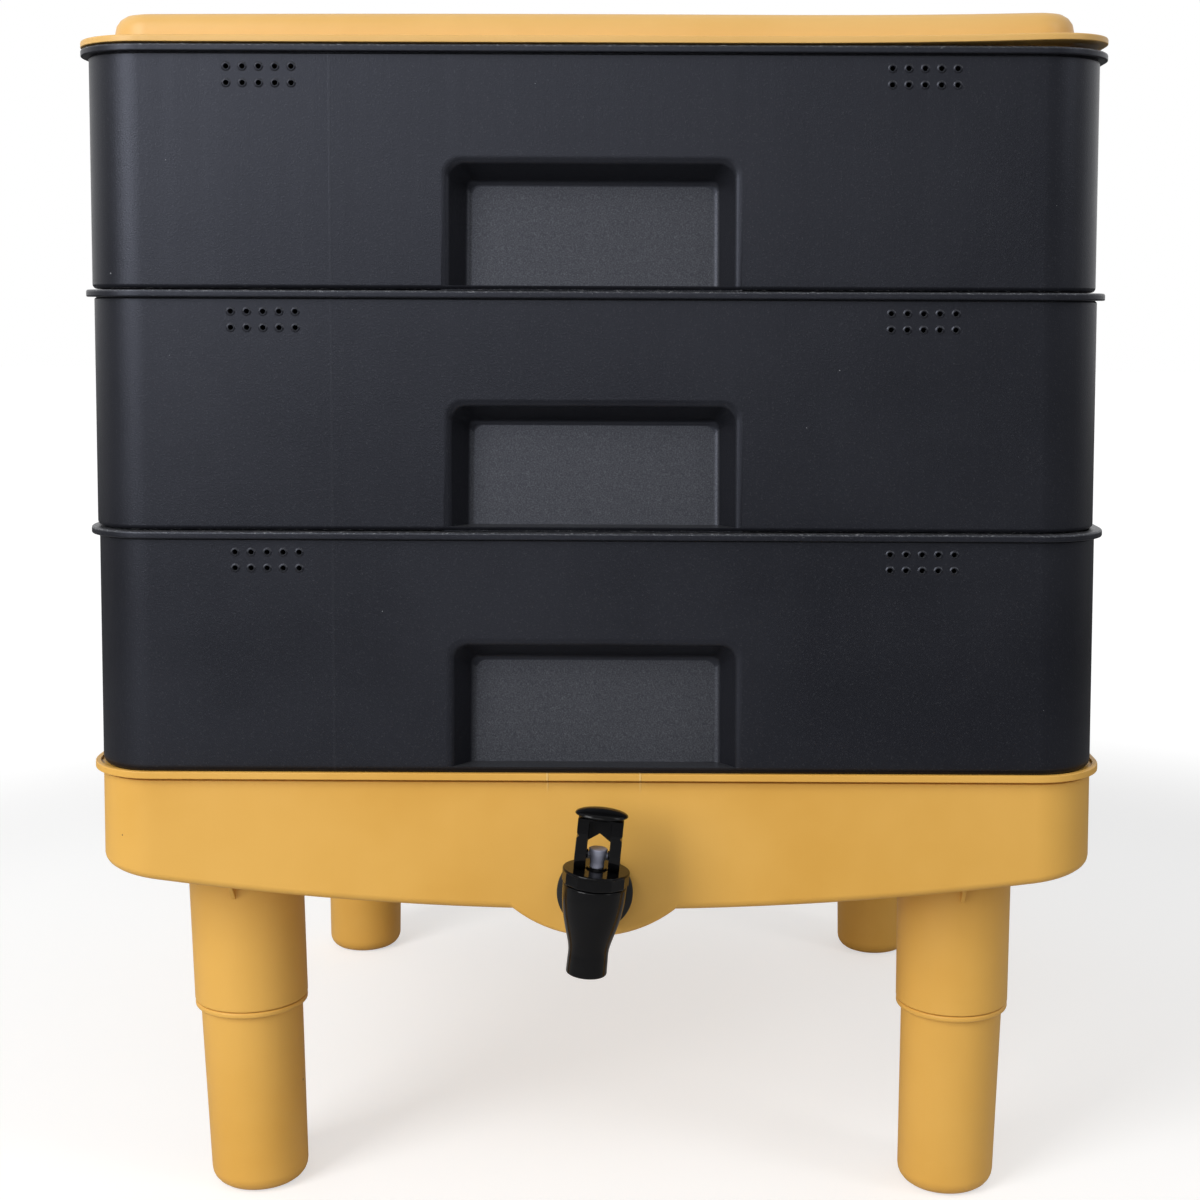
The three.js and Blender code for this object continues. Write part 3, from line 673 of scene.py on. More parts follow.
def tap_plastic():
    made, tree, shader = material("tap_plastic", TAP_SPECULAR)
    grain = use(tree, GRAIN, Grain_Scale=900.0, Cloud_Scale=60.0)
    gloss = ramp(tree, grain["Cloud"], *TAP_CLOUD, *TAP_ROUGHNESS)
    cover(tree, shader, tint(tree, grain["Cloud"], TAP_BLACK, TAP_GREY), gloss)
    slow = bump(tree, shader, grain["Cloud"], TAP_WAVE_HEIGHT, strength=0.35)
    bump(tree, shader, grain["Grain"], TAP_GRAIN_HEIGHT, strength=0.3, base=slow)
    return made


ROUGHNESS_SPREAD = 0.05


def quiet_plastic(name, dark, light, roughness, grain_scale, grain_height):
    """Stem, plug and washers: a quiet surface of two close tones with a fine grain."""
    made, tree, shader = material(name, PLASTIC_SPECULAR)
    grain = use(tree, GRAIN, Grain_Scale=grain_scale, Cloud_Scale=120.0)
    spread = (roughness - ROUGHNESS_SPREAD, roughness + ROUGHNESS_SPREAD)
    cover(tree, shader, tint(tree, grain["Cloud"], dark, light), ramp(tree, grain["Cloud"], *CLOUD, *spread))
    bump(tree, shader, grain["Grain"], grain_height, strength=0.5)
    return made


STEM_TONES = (0.25, 0.26, 0.33, 1), (0.31, 0.32, 0.40, 1)
PLUG_TONES = (0.24, 0.25, 0.28, 1), (0.30, 0.31, 0.34, 1)
WASHER_TONES = (0.010, 0.010, 0.010, 1), (0.018, 0.018, 0.018, 1)

MUSTARD_PLASTIC = mustard_plastic()
LID_PLASTIC = mustard_plastic("lid_plastic", LID_MUSTARD_DEEP, LID_MUSTARD, LID_MUSTARD_PALE)
BASE_PLASTIC = base_plastic()
TRAY_PLASTIC = tray_plastic()
TAP_PLASTIC = tap_plastic()
STEM_GREY = quiet_plastic("stem_grey", *STEM_TONES, 0.38, 900.0, 0.00003)
PLUG_RUBBER = quiet_plastic("plug_rubber", *PLUG_TONES, 0.6, 1500.0, 0.00005)
WASHER_RUBBER = quiet_plastic("washer_rubber", *WASHER_TONES, 0.6, 1500.0, 0.00006)


# Working trays, modelled once with z = 0 at the foot of the outer wall and the middle at the origin

TRAY_WALL = 0.0025
TRAY_FLOOR = 0.0025
TRAY_RIM = 0.0032
TRAY_EDGE = 0.0022
GROOVE_DEPTH = 0.0008  # fine groove where the wall meets the rim
GROOVE_HEIGHT = 0.0009
NEST_DEPTH = 0.010
NEST_CLEARANCE = 0.0018
NEST_EDGE = 0.0015
TRAY_HEIGHT = tray_high.z - tray_low.z - NEST_DEPTH
TRAY_MOUTH = WALL_HALF - TRAY_WALL
TRAY_PLUG = TRAY_MOUTH - NEST_CLEARANCE
POCKET_MOUTH_HALF = 0.0635
POCKET_TOP = 0.056
POCKET_DRAFT = 0.008
POCKET_LEDGE = 0.002
POCKET_TOP_DEPTH = 0.016
POCKET_FOOT_DEPTH = 0.011
POCKET_CORNER = 0.007
POCKET_LIP = 0.0035
POCKET_LIP_START = 0.0002  # before the wall's face
POCKET_LIP_CORNER = 0.0006
POCKET_TOP_STEPS = 7
POCKET_EDGE_STEPS = 6
POCKET_INNER_EDGE = 0.004
AIR_HOLE = 0.00105
AIR_BOSS = 0.0021
AIR_BOSS_RISE = 0.00035
AIR_BOSS_SLOPE = 0.0005
AIR_SINK = (0.0002, 0.0006)  # how much wider each hole is at its ring's face, and at the drill's start
AIR_PITCH = 0.0071
AIR_COLUMNS = 5
AIR_ROWS = 2
AIR_OFFSET = 0.1449
AIR_DROP = 0.013
FOOT_DROP = 0.0023  # how much deeper the bottom tray's wall stands than those of the other trays
FOOT_STRETCH = 0.008  # the height over which the wall is drawn out for it
FOOT_SLACK = 0.0008  # below the wall's foot, where the points still belong to it
FLOOR_BORDER = 0.004
FLOOR_HOLE = 0.004
FLOOR_PITCH = 0.034
FLOOR_COUNT = 12


def tray_shell():
    shell = square_wall(
        "tray",
        [
            (TRAY_PLUG - NEST_EDGE, -NEST_DEPTH),
            (TRAY_PLUG, -NEST_DEPTH, NEST_EDGE - HAIR),
            (TRAY_PLUG, 0, SMALL),
            (WALL_HALF, 0, TRAY_EDGE),
            (WALL_HALF, TRAY_HEIGHT - TRAY_RIM - GROOVE_HEIGHT),
            (WALL_HALF - GROOVE_DEPTH, TRAY_HEIGHT - TRAY_RIM - GROOVE_HEIGHT / 4),
            (WALL_HALF - GROOVE_DEPTH, TRAY_HEIGHT - TRAY_RIM),
            (RIM_HALF, TRAY_HEIGHT - TRAY_RIM, SMALL),
            (RIM_HALF, TRAY_HEIGHT, ROUND),
            (TRAY_MOUTH, TRAY_HEIGHT, ROUND),
            (TRAY_MOUTH, TRAY_WALL, FULL),
            (TRAY_PLUG - TRAY_WALL, TRAY_WALL, BROAD),
            (TRAY_PLUG - TRAY_WALL, TRAY_FLOOR - NEST_DEPTH, FULL),
            (TRAY_PLUG - TRAY_WALL - FLOOR_BORDER, TRAY_FLOOR - NEST_DEPTH),
        ],
    )
    fill_flat()
    done()
    return shell


def pocket_ring(inset, depth, grow, foot):
    """Outline of the pocket at one depth: square foot, rounded top corners, deeper towards the top."""
    half = POCKET_MOUTH_HALF + grow - inset
    top = POCKET_TOP + grow - inset
    corner = max(POCKET_CORNER + grow - inset / 2, POCKET_INNER_EDGE)
    corners = [(half, foot), (half, top, corner), (-half, top, corner), (-half, foot)]
    section = rounded(corners, POCKET_TOP_STEPS)
    slope = (POCKET_TOP_DEPTH / POCKET_FOOT_DEPTH - 1) / (POCKET_TOP - POCKET_DRAFT)
    return [Vector((x, -WALL_HALF + depth + max(depth, 0) * slope * z, z)) for x, z in section]


def pocket_solid(name, stages, grow, foot):
    """Joins the pocket's outlines, from (inset, depth) to (inset, depth), into one closed block."""
    rings = []
    for number, (inset, depth) in enumerate(stages):
        ring = pocket_ring(inset, depth, grow, foot)
        piece = outline(name + str(number), ring)
        bpy.ops.mesh.edge_face_add()
        bpy.ops.object.mode_set(mode="OBJECT")
        rings.append(piece)
    block = joined(rings, name)
    edit(block)
    bpy.ops.mesh.delete(type="ONLY_FACE")
    bpy.ops.mesh.select_all(action="SELECT")
    bpy.ops.mesh.bridge_edge_loops()
    fill_flat()
    done()
    return block


def both_walls(piece, name):
    """The same piece at the front wall and, turned round, at the back wall."""
    back = turn(copy_of(piece, name), math.pi, "Z", (0, 0, 0))
    return joined([piece, back], name)


def air_hole_places():
    for side in (-1, 1):
        for column in range(AIR_COLUMNS):
            for row in range(AIR_ROWS):
                x = side * AIR_OFFSET + (column - (AIR_COLUMNS - 1) / 2) * AIR_PITCH
                z = TRAY_HEIGHT - AIR_DROP + (row - (AIR_ROWS - 1) / 2) * AIR_PITCH
                yield Vector((x, -WALL_HALF, z))


def air_holes():
    """The raised ring round each air hole, and the holes."""
    ring = rounded(
        [(0, TRAY_WALL / 2), (AIR_BOSS, TRAY_WALL / 2), (AIR_BOSS, 0),
         (AIR_BOSS - AIR_BOSS_SLOPE, -AIR_BOSS_RISE, FINE), (0, -AIR_BOSS_RISE)],
        steps=3,
    )
    at_ring, at_start = (AIR_HOLE + wider for wider in AIR_SINK)
    hole = [(0, TRAY_WALL + OVERRUN), (AIR_HOLE, TRAY_WALL + OVERRUN), (AIR_HOLE, 0),
            (at_ring, -AIR_BOSS_RISE), (at_start, -OVERRUN), (0, -OVERRUN)]
    bosses = copies(turned("boss", ring, steps=AIR_STEPS, axis="Y"), "bosses", air_hole_places())
    drills = copies(turned("drill", hole, steps=AIR_STEPS, axis="Y"), "drills", air_hole_places())
    return both_walls(bosses, "bosses"), both_walls(drills, "drills")


def floor_drills():
    first = (1 - FLOOR_COUNT) / 2 * FLOOR_PITCH
    places = [
        (first + column * FLOOR_PITCH, first + row * FLOOR_PITCH, 0)
        for column in range(FLOOR_COUNT) for row in range(FLOOR_COUNT)
    ]
    top = TRAY_FLOOR - NEST_DEPTH + OVERRUN
    return copies(rod("drill", FLOOR_HOLE, -NEST_DEPTH - OVERRUN, top, steps=FLOOR_STEPS), "drills", places)


def tray_model():
    tray = tray_shell()
    wall_stages = [(0, TRAY_WALL / 2), (POCKET_DRAFT, POCKET_FOOT_DEPTH + TRAY_WALL)]
    combine(tray, both_walls(pocket_solid("pocket", wall_stages, TRAY_WALL, 0), "pockets"), "UNION")
    hollow_stages = rounded(
        [(-POCKET_LIP, -OVERRUN), (-POCKET_LIP, -POCKET_LIP_START),
         (POCKET_LIP_CORNER, POCKET_LIP_CORNER, POCKET_LIP),
         (POCKET_DRAFT, POCKET_FOOT_DEPTH, POCKET_INNER_EDGE),
         (POCKET_DRAFT + 2 * POCKET_INNER_EDGE, POCKET_FOOT_DEPTH)],
        POCKET_EDGE_STEPS,
    )[:-1]
    combine(tray, both_walls(pocket_solid("hollow", hollow_stages, 0, POCKET_LEDGE), "hollows"))
    bosses, drills = air_holes()
    combine(tray, bosses, "UNION")
    combine(tray, drills)
    combine(tray, floor_drills())
    return tray


def sunk_foot(point):
    """Lets the wall's foot stand a little deeper, behind the lip of the base's rim."""
    if -FOOT_SLACK < point.z < FOOT_STRETCH:
        point.z -= FOOT_DROP * min(1.0, 1 - point.z / FOOT_STRETCH) ** 2
    return point


def make_trays():
    model = tray_model()
    for name in ("bottom_tray", "middle_tray", "top_tray"):
        tray = copy_of(model, "black_" + name)
        if name == "bottom_tray":
            reshape(tray, sunk_foot)
        shift(tray, middle_of(name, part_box(name)[1].z - TRAY_HEIGHT))
        place(tray, name, name + "_body", TRAY_PLASTIC)
    bpy.data.objects.remove(model)


# Sump base, modelled round the origin at its real height

BASE_RIM = 0.0044
BASE_WALL = 0.003
BASE_EDGE = 0.004
RIM_LIP = 0.0024  # width of the lip that runs round the rim
RIM_DROP = 0.0012  # how far the lip lies under the rim's full height
RIM_SEAT = 0.0024  # how far the tray's seat inside the lip lies under it
RIM_STEP = 0.0002  # slope of the step from the lip down to the seat
RIM_SHADOW = 0.0022  # depth of the groove under the rim
RIM_GROOVE = 0.0016  # height of that groove
RIM_REACH = 0.01  # how far the seat runs in past the corners' start, before it is closed
MOUTH_CHAMFER = 0.0005
BASE_BOTTOM = 0.1513  # under the middle of the dished floor
STACK_MIDDLE = Vector(((base_low.x + base_high.x) / 2, MIDDLE_Y, 0))
DISH_RADIUS = 1.530
DISH_STEPS = 26
BELLY_RADIUS = 0.0588
BELLY_LENGTH = 0.150
BELLY_BOTTOM = 0.1393
LEG_HALF = 0.1683
TUBE_FOOT = 0.0265
TUBE_FLARE = 0.0004
TUBE_WALL = 0.0025
CUP_HEIGHT = 0.0911
SEAT_GAP = 0.0003  # between pieces that sit on or in each other
GUSSET_HEIGHT = 0.0144
GUSSET_REACH = 0.012
GUSSET_THICKNESS = 0.0018
GUSSET_ROOT = (0.001, 0.0006)  # how far it starts inside the tube's wall, and its foot's width outside
BOSS_HEIGHT = 0.020
BOSS_EDGE = 0.001
FRONT_CUP_LEAN = 0.0035  # how far the front cups' feet stand back under their tubes
# How far each leg stands to the right of its place, at the foot, at the lip and at the base
LEG_LEANS = {
    "front_left": (0.0039, 0.0011, -0.0009),
    "front_right": (-0.0005, 0.0012, 0.0016),
    "back_left": (0.0, 0.0, 0.0),
    "back_right": (0.0, 0.0, 0.0),
}
LEG_PLACES = {
    end + "_" + side: Vector((across * LEG_HALF, along * LEG_HALF, 0))
    for end, along in (("front", -1), ("back", 1))
    for side, across in (("left", -1), ("right", 1))
}


def dish(x):
    return DISH_RADIUS - math.sqrt(DISH_RADIUS**2 - x**2)


def dished(top):
    """Lifts the points below a height to the floor's curve."""
    def rule(point):
        if point.z < top:
            point.z += dish(point.x)
        return point
    return rule


def dished_block(name, corners, floor, top):
    """A block on the stack's plan from its section, whose floor is dished up to a height."""
    block = square_wall(name, corners, DISH_STEPS)
    strip_cap(block, floor)
    fill_flat()
    done()
    return reshape(block, dished(top))


def base_solid():
    """The base's outer form, not yet hollow."""
    rim = base_high.z
    return dished_block(
        "base",
        [
            (WALL_HALF - BASE_EDGE, BASE_BOTTOM),
            (WALL_HALF, BASE_BOTTOM, BASE_EDGE - HAIR),
            (WALL_HALF, rim - BASE_RIM - RIM_GROOVE),
            (WALL_HALF - RIM_SHADOW, rim - BASE_RIM - RIM_GROOVE + CRISP),
            (WALL_HALF - RIM_SHADOW, rim - BASE_RIM),
            (RIM_HALF, rim - BASE_RIM, FINE),
            (RIM_HALF, rim - RIM_DROP, THIN),
            (RIM_HALF - RIM_LIP, rim - RIM_DROP, FINE),
            (RIM_HALF - RIM_LIP - RIM_STEP, rim - RIM_SEAT),
            (STRAIGHT_HALF + RIM_REACH, rim - RIM_SEAT),
        ],
        BASE_BOTTOM,
        rim - BASE_RIM - RIM_GROOVE - OVERRUN,
    )


def base_cavity():
    rim = base_high.z
    floor = BASE_BOTTOM + BASE_WALL
    mouth = WALL_HALF - BASE_WALL
    return dished_block(
        "cavity",
        [
            (mouth - BASE_EDGE, floor),
            (mouth, floor, BASE_EDGE - HAIR),
            (mouth, rim - RIM_SEAT - MOUTH_CHAMFER),
            (mouth + MOUTH_CHAMFER, rim - RIM_SEAT),
            (mouth + MOUTH_CHAMFER + OVERRUN, rim - RIM_SEAT + OVERRUN),
        ],
        floor,
        rim - BASE_RIM,
    )


def belly(name, inset):
    """The drain belly: a cone lying under the front of the floor that runs out towards the middle."""
    height = BELLY_BOTTOM + BELLY_RADIUS
    radius = BELLY_RADIUS - inset
    end = height - BASE_BOTTOM - inset
    corners = [(0, inset), (radius, inset, GENEROUS), (end, BELLY_LENGTH), (0, BELLY_LENGTH)]
    cone = turned(name, rounded(corners, steps=5), (0, -WALL_HALF, height), BELLY_STEPS, "Y")
    edit(cone)
    top = BASE_BOTTOM + BASE_EDGE + inset + CRISP
    bpy.ops.mesh.bisect(plane_co=(0, 0, top), plane_no=(0, 0, 1), use_fill=True, clear_outer=True)
    done()
    return cone


def leaning(name):
    """The rule that lets one leg lean a little, as pushed-together legs do."""
    foot, lip, top = LEG_LEANS[name]
    back = FRONT_CUP_LEAN if name.startswith("front") else 0.0

    def rule(point):
        down = max(0.0, 1 - point.z / CUP_HEIGHT)
        up = max(0.0, (point.z - CUP_HEIGHT) / (BASE_BOTTOM - CUP_HEIGHT))
        point.x += lip + (foot - lip) * down + (top - lip) * up
        point.y += back * down
        return point

    return rule


def leg_boss(spot):
    """Round boss under the floor that holds an upper leg tube."""
    radius = TUBE_FOOT - TUBE_WALL - SEAT_GAP
    top = BASE_BOTTOM + dish(LEG_HALF + TUBE_FOOT) + BASE_WALL / 2
    foot = BASE_BOTTOM + dish(LEG_HALF) - BOSS_HEIGHT
    return turned("boss", rounded([(0, foot), (radius, foot, BOSS_EDGE), (radius, top), (0, top)]), spot)


def make_leg_tubes():
    """Upper leg tubes, each with the gusset that bears under the floor's front or back edge."""
    foot = CUP_HEIGHT + SEAT_GAP
    top = BASE_BOTTOM + dish(LEG_HALF + TUBE_FOOT) + BASE_WALL / 2
    outer = TUBE_FOOT + TUBE_FLARE
    underside = BASE_BOTTOM + dish(LEG_HALF)
    section = rounded(
        [
            (outer - TUBE_WALL, top),
            (TUBE_FOOT - TUBE_WALL, foot, THIN),
            (TUBE_FOOT, foot, SOFT),
            (outer, top),
            (outer - TUBE_WALL, top),
        ]
    )
    inside, outside = GUSSET_ROOT
    points = [
        (outer - inside, underside - GUSSET_HEIGHT),
        (outer + outside, underside - GUSSET_HEIGHT),
        (outer + GUSSET_REACH, underside),
        (outer + GUSSET_REACH, top),
        (outer - inside, top),
    ]
    for name, spot in LEG_PLACES.items():
        node = name + "_leg_tube"
        tube = turned("mustard_" + node, section, spot)
        side = -1 if spot.y < 0 else 1
        corners = [spot + Vector((0, side * y, z)) for y, z in points]
        combine(tube, slab("gusset", corners, (GUSSET_THICKNESS, 0, 0)), "UNION")
        reshape(tube, leaning(name))
        combine(tube, shift(base_solid(), (0, 0, -SEAT_GAP)))
        shift(tube, STACK_MIDDLE)
        place(tube, node, "base", MUSTARD_PLASTIC)


def make_base():
    base = base_solid()
    combine(base, belly("belly", 0), "UNION")
    combine(base, joined([leg_boss(spot) for spot in LEG_PLACES.values()], "bosses"), "UNION")
    combine(base, base_cavity())
    combine(base, belly("belly", BASE_WALL))
    shift(base, STACK_MIDDLE)
    hole = SHANK_RADIUS + SHANK_PLAY
    combine(base, rod("hole", hole, -OVERRUN, BASE_WALL + OVERRUN, INLET, axis="Y"))
    base.name = base.data.name = "mustard_base"
    place(base, "sump_base", "base", BASE_PLASTIC)


# Lower legs

LIP_THICKNESS = 0.0028
LIP_RADIUS = 0.0264
LIP_EDGE = 0.0011
CUP_TOP = 0.0239
CUP_FOOT = 0.0227
CUP_EDGE = 0.0075
CUP_WALL = 0.0024
SPIGOT_HEIGHT = 0.024


def make_legs():
    lip_foot = CUP_HEIGHT - LIP_THICKNESS
    spigot = TUBE_FOOT - TUBE_WALL - SEAT_GAP
    section = rounded(
        [
            (0, 0),
            (CUP_FOOT, 0, CUP_EDGE),
            (CUP_TOP, lip_foot, SOFT),
            (LIP_RADIUS, lip_foot, LIP_EDGE),
            (LIP_RADIUS, CUP_HEIGHT, ROUND),
            (spigot, CUP_HEIGHT, CRISP),
            (spigot, CUP_HEIGHT + SPIGOT_HEIGHT, SOFT),
            (spigot - CUP_WALL, CUP_HEIGHT + SPIGOT_HEIGHT, THIN),
            (CUP_FOOT - CUP_WALL, CUP_WALL, CUP_EDGE - CUP_WALL),
            (0, CUP_WALL),
        ],
        steps=6,
    )
    for name in LEG_PLACES:
        node = name + "_leg"
        leg = turned("mustard_" + node, section, middle_of(node))
        reshape(leg, leaning(name))
        place(leg, node, "base", MUSTARD_PLASTIC)


# Lid, modelled with z = 0 at the flange's underside

LID_HEIGHT = 0.0154
LID_FLANGE = 0.0034
LID_EDGE_LIFT = 0.0005  # the flange's outer edge stands clear of the tray's rim
LID_SEAT = 0.006
LID_WALL = 0.0024
LID_PANEL = RIM_HALF - 0.0151
LID_FILLET = 0.008
LID_SKIRT = 0.008
LID_BORDER = 0.003
LID_RIBS = 4
LID_RIB_PITCH = 0.095
LID_RIB_THICKNESS = 0.002
LID_RIB_DEPTH = 0.006
LID_RIB_TAPER = (0.8, 0.7)  # the share of its reach and of its depth at which a rib's lower corner is cut
LID_LIFT = 0.0034  # how far the warped right edge of the flange stands up
LID_LIFT_START = 0.055
LID_LIFT_CURVE = 2.5
LID_PANEL_LIFT = 0.0032  # and how far the panel's top does there
LID_CROWN = 0.0008  # how far the panel's middle stands up


def lid_warp(point):
    """Crowns the panel, and lifts the right edge as the warped lid does."""
    along = max(0.0, (point.x - LID_LIFT_START) / (RIM_HALF - LID_LIFT_START))
    share = min(1.0, max(0.0, point.z / LID_HEIGHT))
    point.z += (LID_LIFT + (LID_PANEL_LIFT - LID_LIFT) * share) * along**LID_LIFT_CURVE
    point.z += LID_CROWN * share * max(0.0, 1 - (point.x / LID_PANEL) ** 2)
    return point


def make_lid():
    lid = square_wall(
        "mustard_lid",
        [
            (STRAIGHT_HALF + LID_BORDER, LID_HEIGHT),
            (LID_PANEL, LID_HEIGHT, LID_FILLET),
            (LID_PANEL, LID_FLANGE, BROAD),
            (RIM_HALF, LID_FLANGE, ROUND),
            (RIM_HALF, LID_EDGE_LIFT, CRISP),
            (RIM_HALF - LID_SEAT, 0, GENEROUS),
            (LID_PANEL, 0, SMALL),
            (LID_PANEL, -LID_SKIRT, SMALL),
            (LID_PANEL - LID_WALL, -LID_SKIRT, SMALL),
            (LID_PANEL - LID_WALL, LID_HEIGHT - LID_WALL, LID_FILLET - LID_WALL),
            (STRAIGHT_HALF + LID_BORDER, LID_HEIGHT - LID_WALL),
        ],
        DISH_STEPS,
    )
    strip_cap(lid, LID_HEIGHT)
    strip_cap(lid, LID_HEIGHT - LID_WALL)
    done()
    reach = TRAY_PLUG - LID_PANEL
    reach_cut, depth_cut = LID_RIB_TAPER
    corners = [
        (LID_PANEL - LID_WALL / 2, LID_FLANGE / 2),
        (LID_PANEL - LID_WALL / 2, -LID_RIB_DEPTH),
        (LID_PANEL + reach * reach_cut, -LID_RIB_DEPTH),
        (LID_PANEL + reach, -LID_RIB_DEPTH * depth_cut),
        (LID_PANEL + reach, LID_FLANGE / 2),
    ]
    ribs = []
    for side in range(4):
        for number in range(LID_RIBS):
            along = (number - (LID_RIBS - 1) / 2) * LID_RIB_PITCH
            rib = slab("rib", [(out, along, up) for out, up in corners], (0, LID_RIB_THICKNESS, 0))
            ribs.append(turn(rib, side * QUARTER, "Z", (0, 0, 0)))
    combine(lid, joined(ribs, "ribs"), "UNION")
    reshape(lid, lid_warp)
    shift(lid, middle_of("lid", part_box("top_tray")[1].z + SEAT_GAP))
    place(lid, "lid", "lid_body", LID_PLASTIC)


# Tap, modelled upright on its barrel's axis and then leaned about its inlet

SHANK_RADIUS = 0.008
SHANK_LENGTH = 0.021
SHANK_BORE = 0.0045
SHANK_PLAY = 0.0004
COLLAR_RADIUS = 0.014
COLLAR_THICKNESS = 0.003
INLET_RADIUS = 0.009
BARREL_TOP = 0.0126
BARREL_RADIUS = 0.0139
NECK_RADIUS = 0.012
NECK_HEIGHT = 0.0042
CHAMBER_RADIUS = 0.0104
CHAMBER_FLOOR = -0.006
OUTLET_BORE = 0.0063
SPOUT_RADIUS = 0.0089
SPOUT_BOTTOM = -0.0269
SPOUT_NECK = (0.0087, -0.018)  # the spout's narrowest place
SPOUT_PULL = (0.0087, -0.0115)
BARREL_PULL = (0.0127, -0.0064)
SHOULDER = (0.0137, 0.007)
SPOUT_STEPS = 18
BONNET_RADIUS = 0.0146
BONNET_TOP = 0.0192
BONNET_BAND = 0.0012
BONNET_FLATS = 12
BONNET_ROOF = 0.002
BONNET_COLLAR = 0.0041
COLLAR_RISE = 0.0008
STEM_RADIUS = 0.0027
STEM_PLAY = 0.00035
STEM_HEAD = 0.0041
STEM_CHEEK = 0.0022
STEM_FLARE = 0.0062
STEM_WAIST = 0.0030
STEM_WAIST_CURVE = 0.004
STEM_EDGE = 0.0002
STEM_FOOT = 0.0032
STEM_TOP = 0.0283
PIN_HEIGHT = 0.0256
PIN_RADIUS = 0.0012
PIN_LENGTH = 0.017
PIN_BOSS = 0.0019
PLUG_RADIUS = 0.0082
PLUG_HEIGHT = 0.008
ARM_GAP = 0.0097
HANDLE_WIDTH = 0.0197
HANDLE_DEPTH = 0.0086
HANDLE_SHOULDER = 0.0316
HANDLE_APEX = 0.035
HANDLE_WAIST = 0.0342
HANDLE_NOTCH = 0.001
HANDLE_EDGE = 0.0007
HANDLE_TOP = 0.0414
HEEL_LIFT = 0.003
HEEL_STEPS = 12
CHANNEL_TOP = 0.0405  # of the hollow between the fork's two walls
CHANNEL_DEPTH = 0.0032
CAP_RADIUS = 0.0115
CAP_DEPTH_SHARE = 0.7
CAP_FLARE = 0.8  # the share of its radius that its underside reaches first
DOME_STEPS = 10
CAP_EDGE = 0.0431
CAP_TOP = 0.0458
WASHER_RADIUS = 0.017
WASHER_THICKNESS = 0.003
INNER_WASHER_RADIUS = 0.0145
NUT_WIDTH = 0.027
NUT_THICKNESS = 0.008
NUT_SIDES = 6

joints = {joint["name"]: joint for joint in frame["joints"]}
lean_axis = Vector(joints["stem_slide"]["axis"])
TAP_LEAN = math.atan2(lean_axis.x, lean_axis.z)
washer_low, washer_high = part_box("tap_washer")
INLET = Vector(
    ((washer_low.x + washer_high.x) / 2, MIDDLE_Y - WALL_HALF, (washer_low.z + washer_high.z) / 2)
)
BARREL = Vector((INLET.x, joints["handle_turn"]["pos_m"][1], INLET.z))


def curve_between(start_point, start_pull, end_pull, end_point, steps):
    """Points of a curve that leaves its start towards one pull and comes to its end from the other."""
    points = []
    for step in range(steps + 1):
        t = step / steps
        u = 1 - t
        near_start = u**3 * start_point + 3 * u * u * t * start_pull
        points.append(near_start + 3 * u * t * t * end_pull + t**3 * end_point)
    return points


def put_tap_piece(piece, node, body, finish):
    """Leans a piece with the whole tap about its inlet, and puts it in its place."""
    turn(piece, TAP_LEAN, "Y", INLET)
    return place(piece, node, body, finish)


def make_tap_body():
    neck_top = BARREL_TOP + NECK_HEIGHT
    spout = rounded([(0, SPOUT_BOTTOM), (SPOUT_RADIUS, SPOUT_BOTTOM, SOFT), SPOUT_NECK])
    pulls = [Vector(spot) for spot in (SPOUT_NECK, SPOUT_PULL, BARREL_PULL, SHOULDER)]
    top = rounded([SHOULDER, (BARREL_RADIUS, BARREL_TOP, SOFT), (NECK_RADIUS, BARREL_TOP),
                   (NECK_RADIUS, neck_top), (0, neck_top)])
    section = spout[:-1] + curve_between(*pulls, SPOUT_STEPS) + top[1:]
    body = turned("gloss_tap_body", section, BARREL)
    back = -WASHER_THICKNESS - 2 * SEAT_GAP
    front = back - COLLAR_THICKNESS
    reach = BARREL.y - INLET.y
    shank = rounded(
        [(0, reach), (INLET_RADIUS, reach), (INLET_RADIUS, front, GENEROUS), (COLLAR_RADIUS, front, SOFT),
         (COLLAR_RADIUS, back, CRISP), (SHANK_RADIUS, back), (SHANK_RADIUS, SHANK_LENGTH, SMALL),
         (0, SHANK_LENGTH)]
    )
    combine(body, turned("inlet", shank, INLET, axis="Y"), "UNION")
    below = SPOUT_BOTTOM - OVERRUN
    above = neck_top + OVERRUN
    hollow = [(0, below), (OUTLET_BORE, below), (OUTLET_BORE, CHAMBER_FLOOR), (CHAMBER_RADIUS, CHAMBER_FLOOR),
              (CHAMBER_RADIUS, above), (0, above)]
    combine(body, turned("chamber", hollow, BARREL))
    combine(body, rod("bore", SHANK_BORE, reach, SHANK_LENGTH + OVERRUN, INLET, BORE_STEPS, "Y"))
    put_tap_piece(body, "tap_body", "base", TAP_PLASTIC)


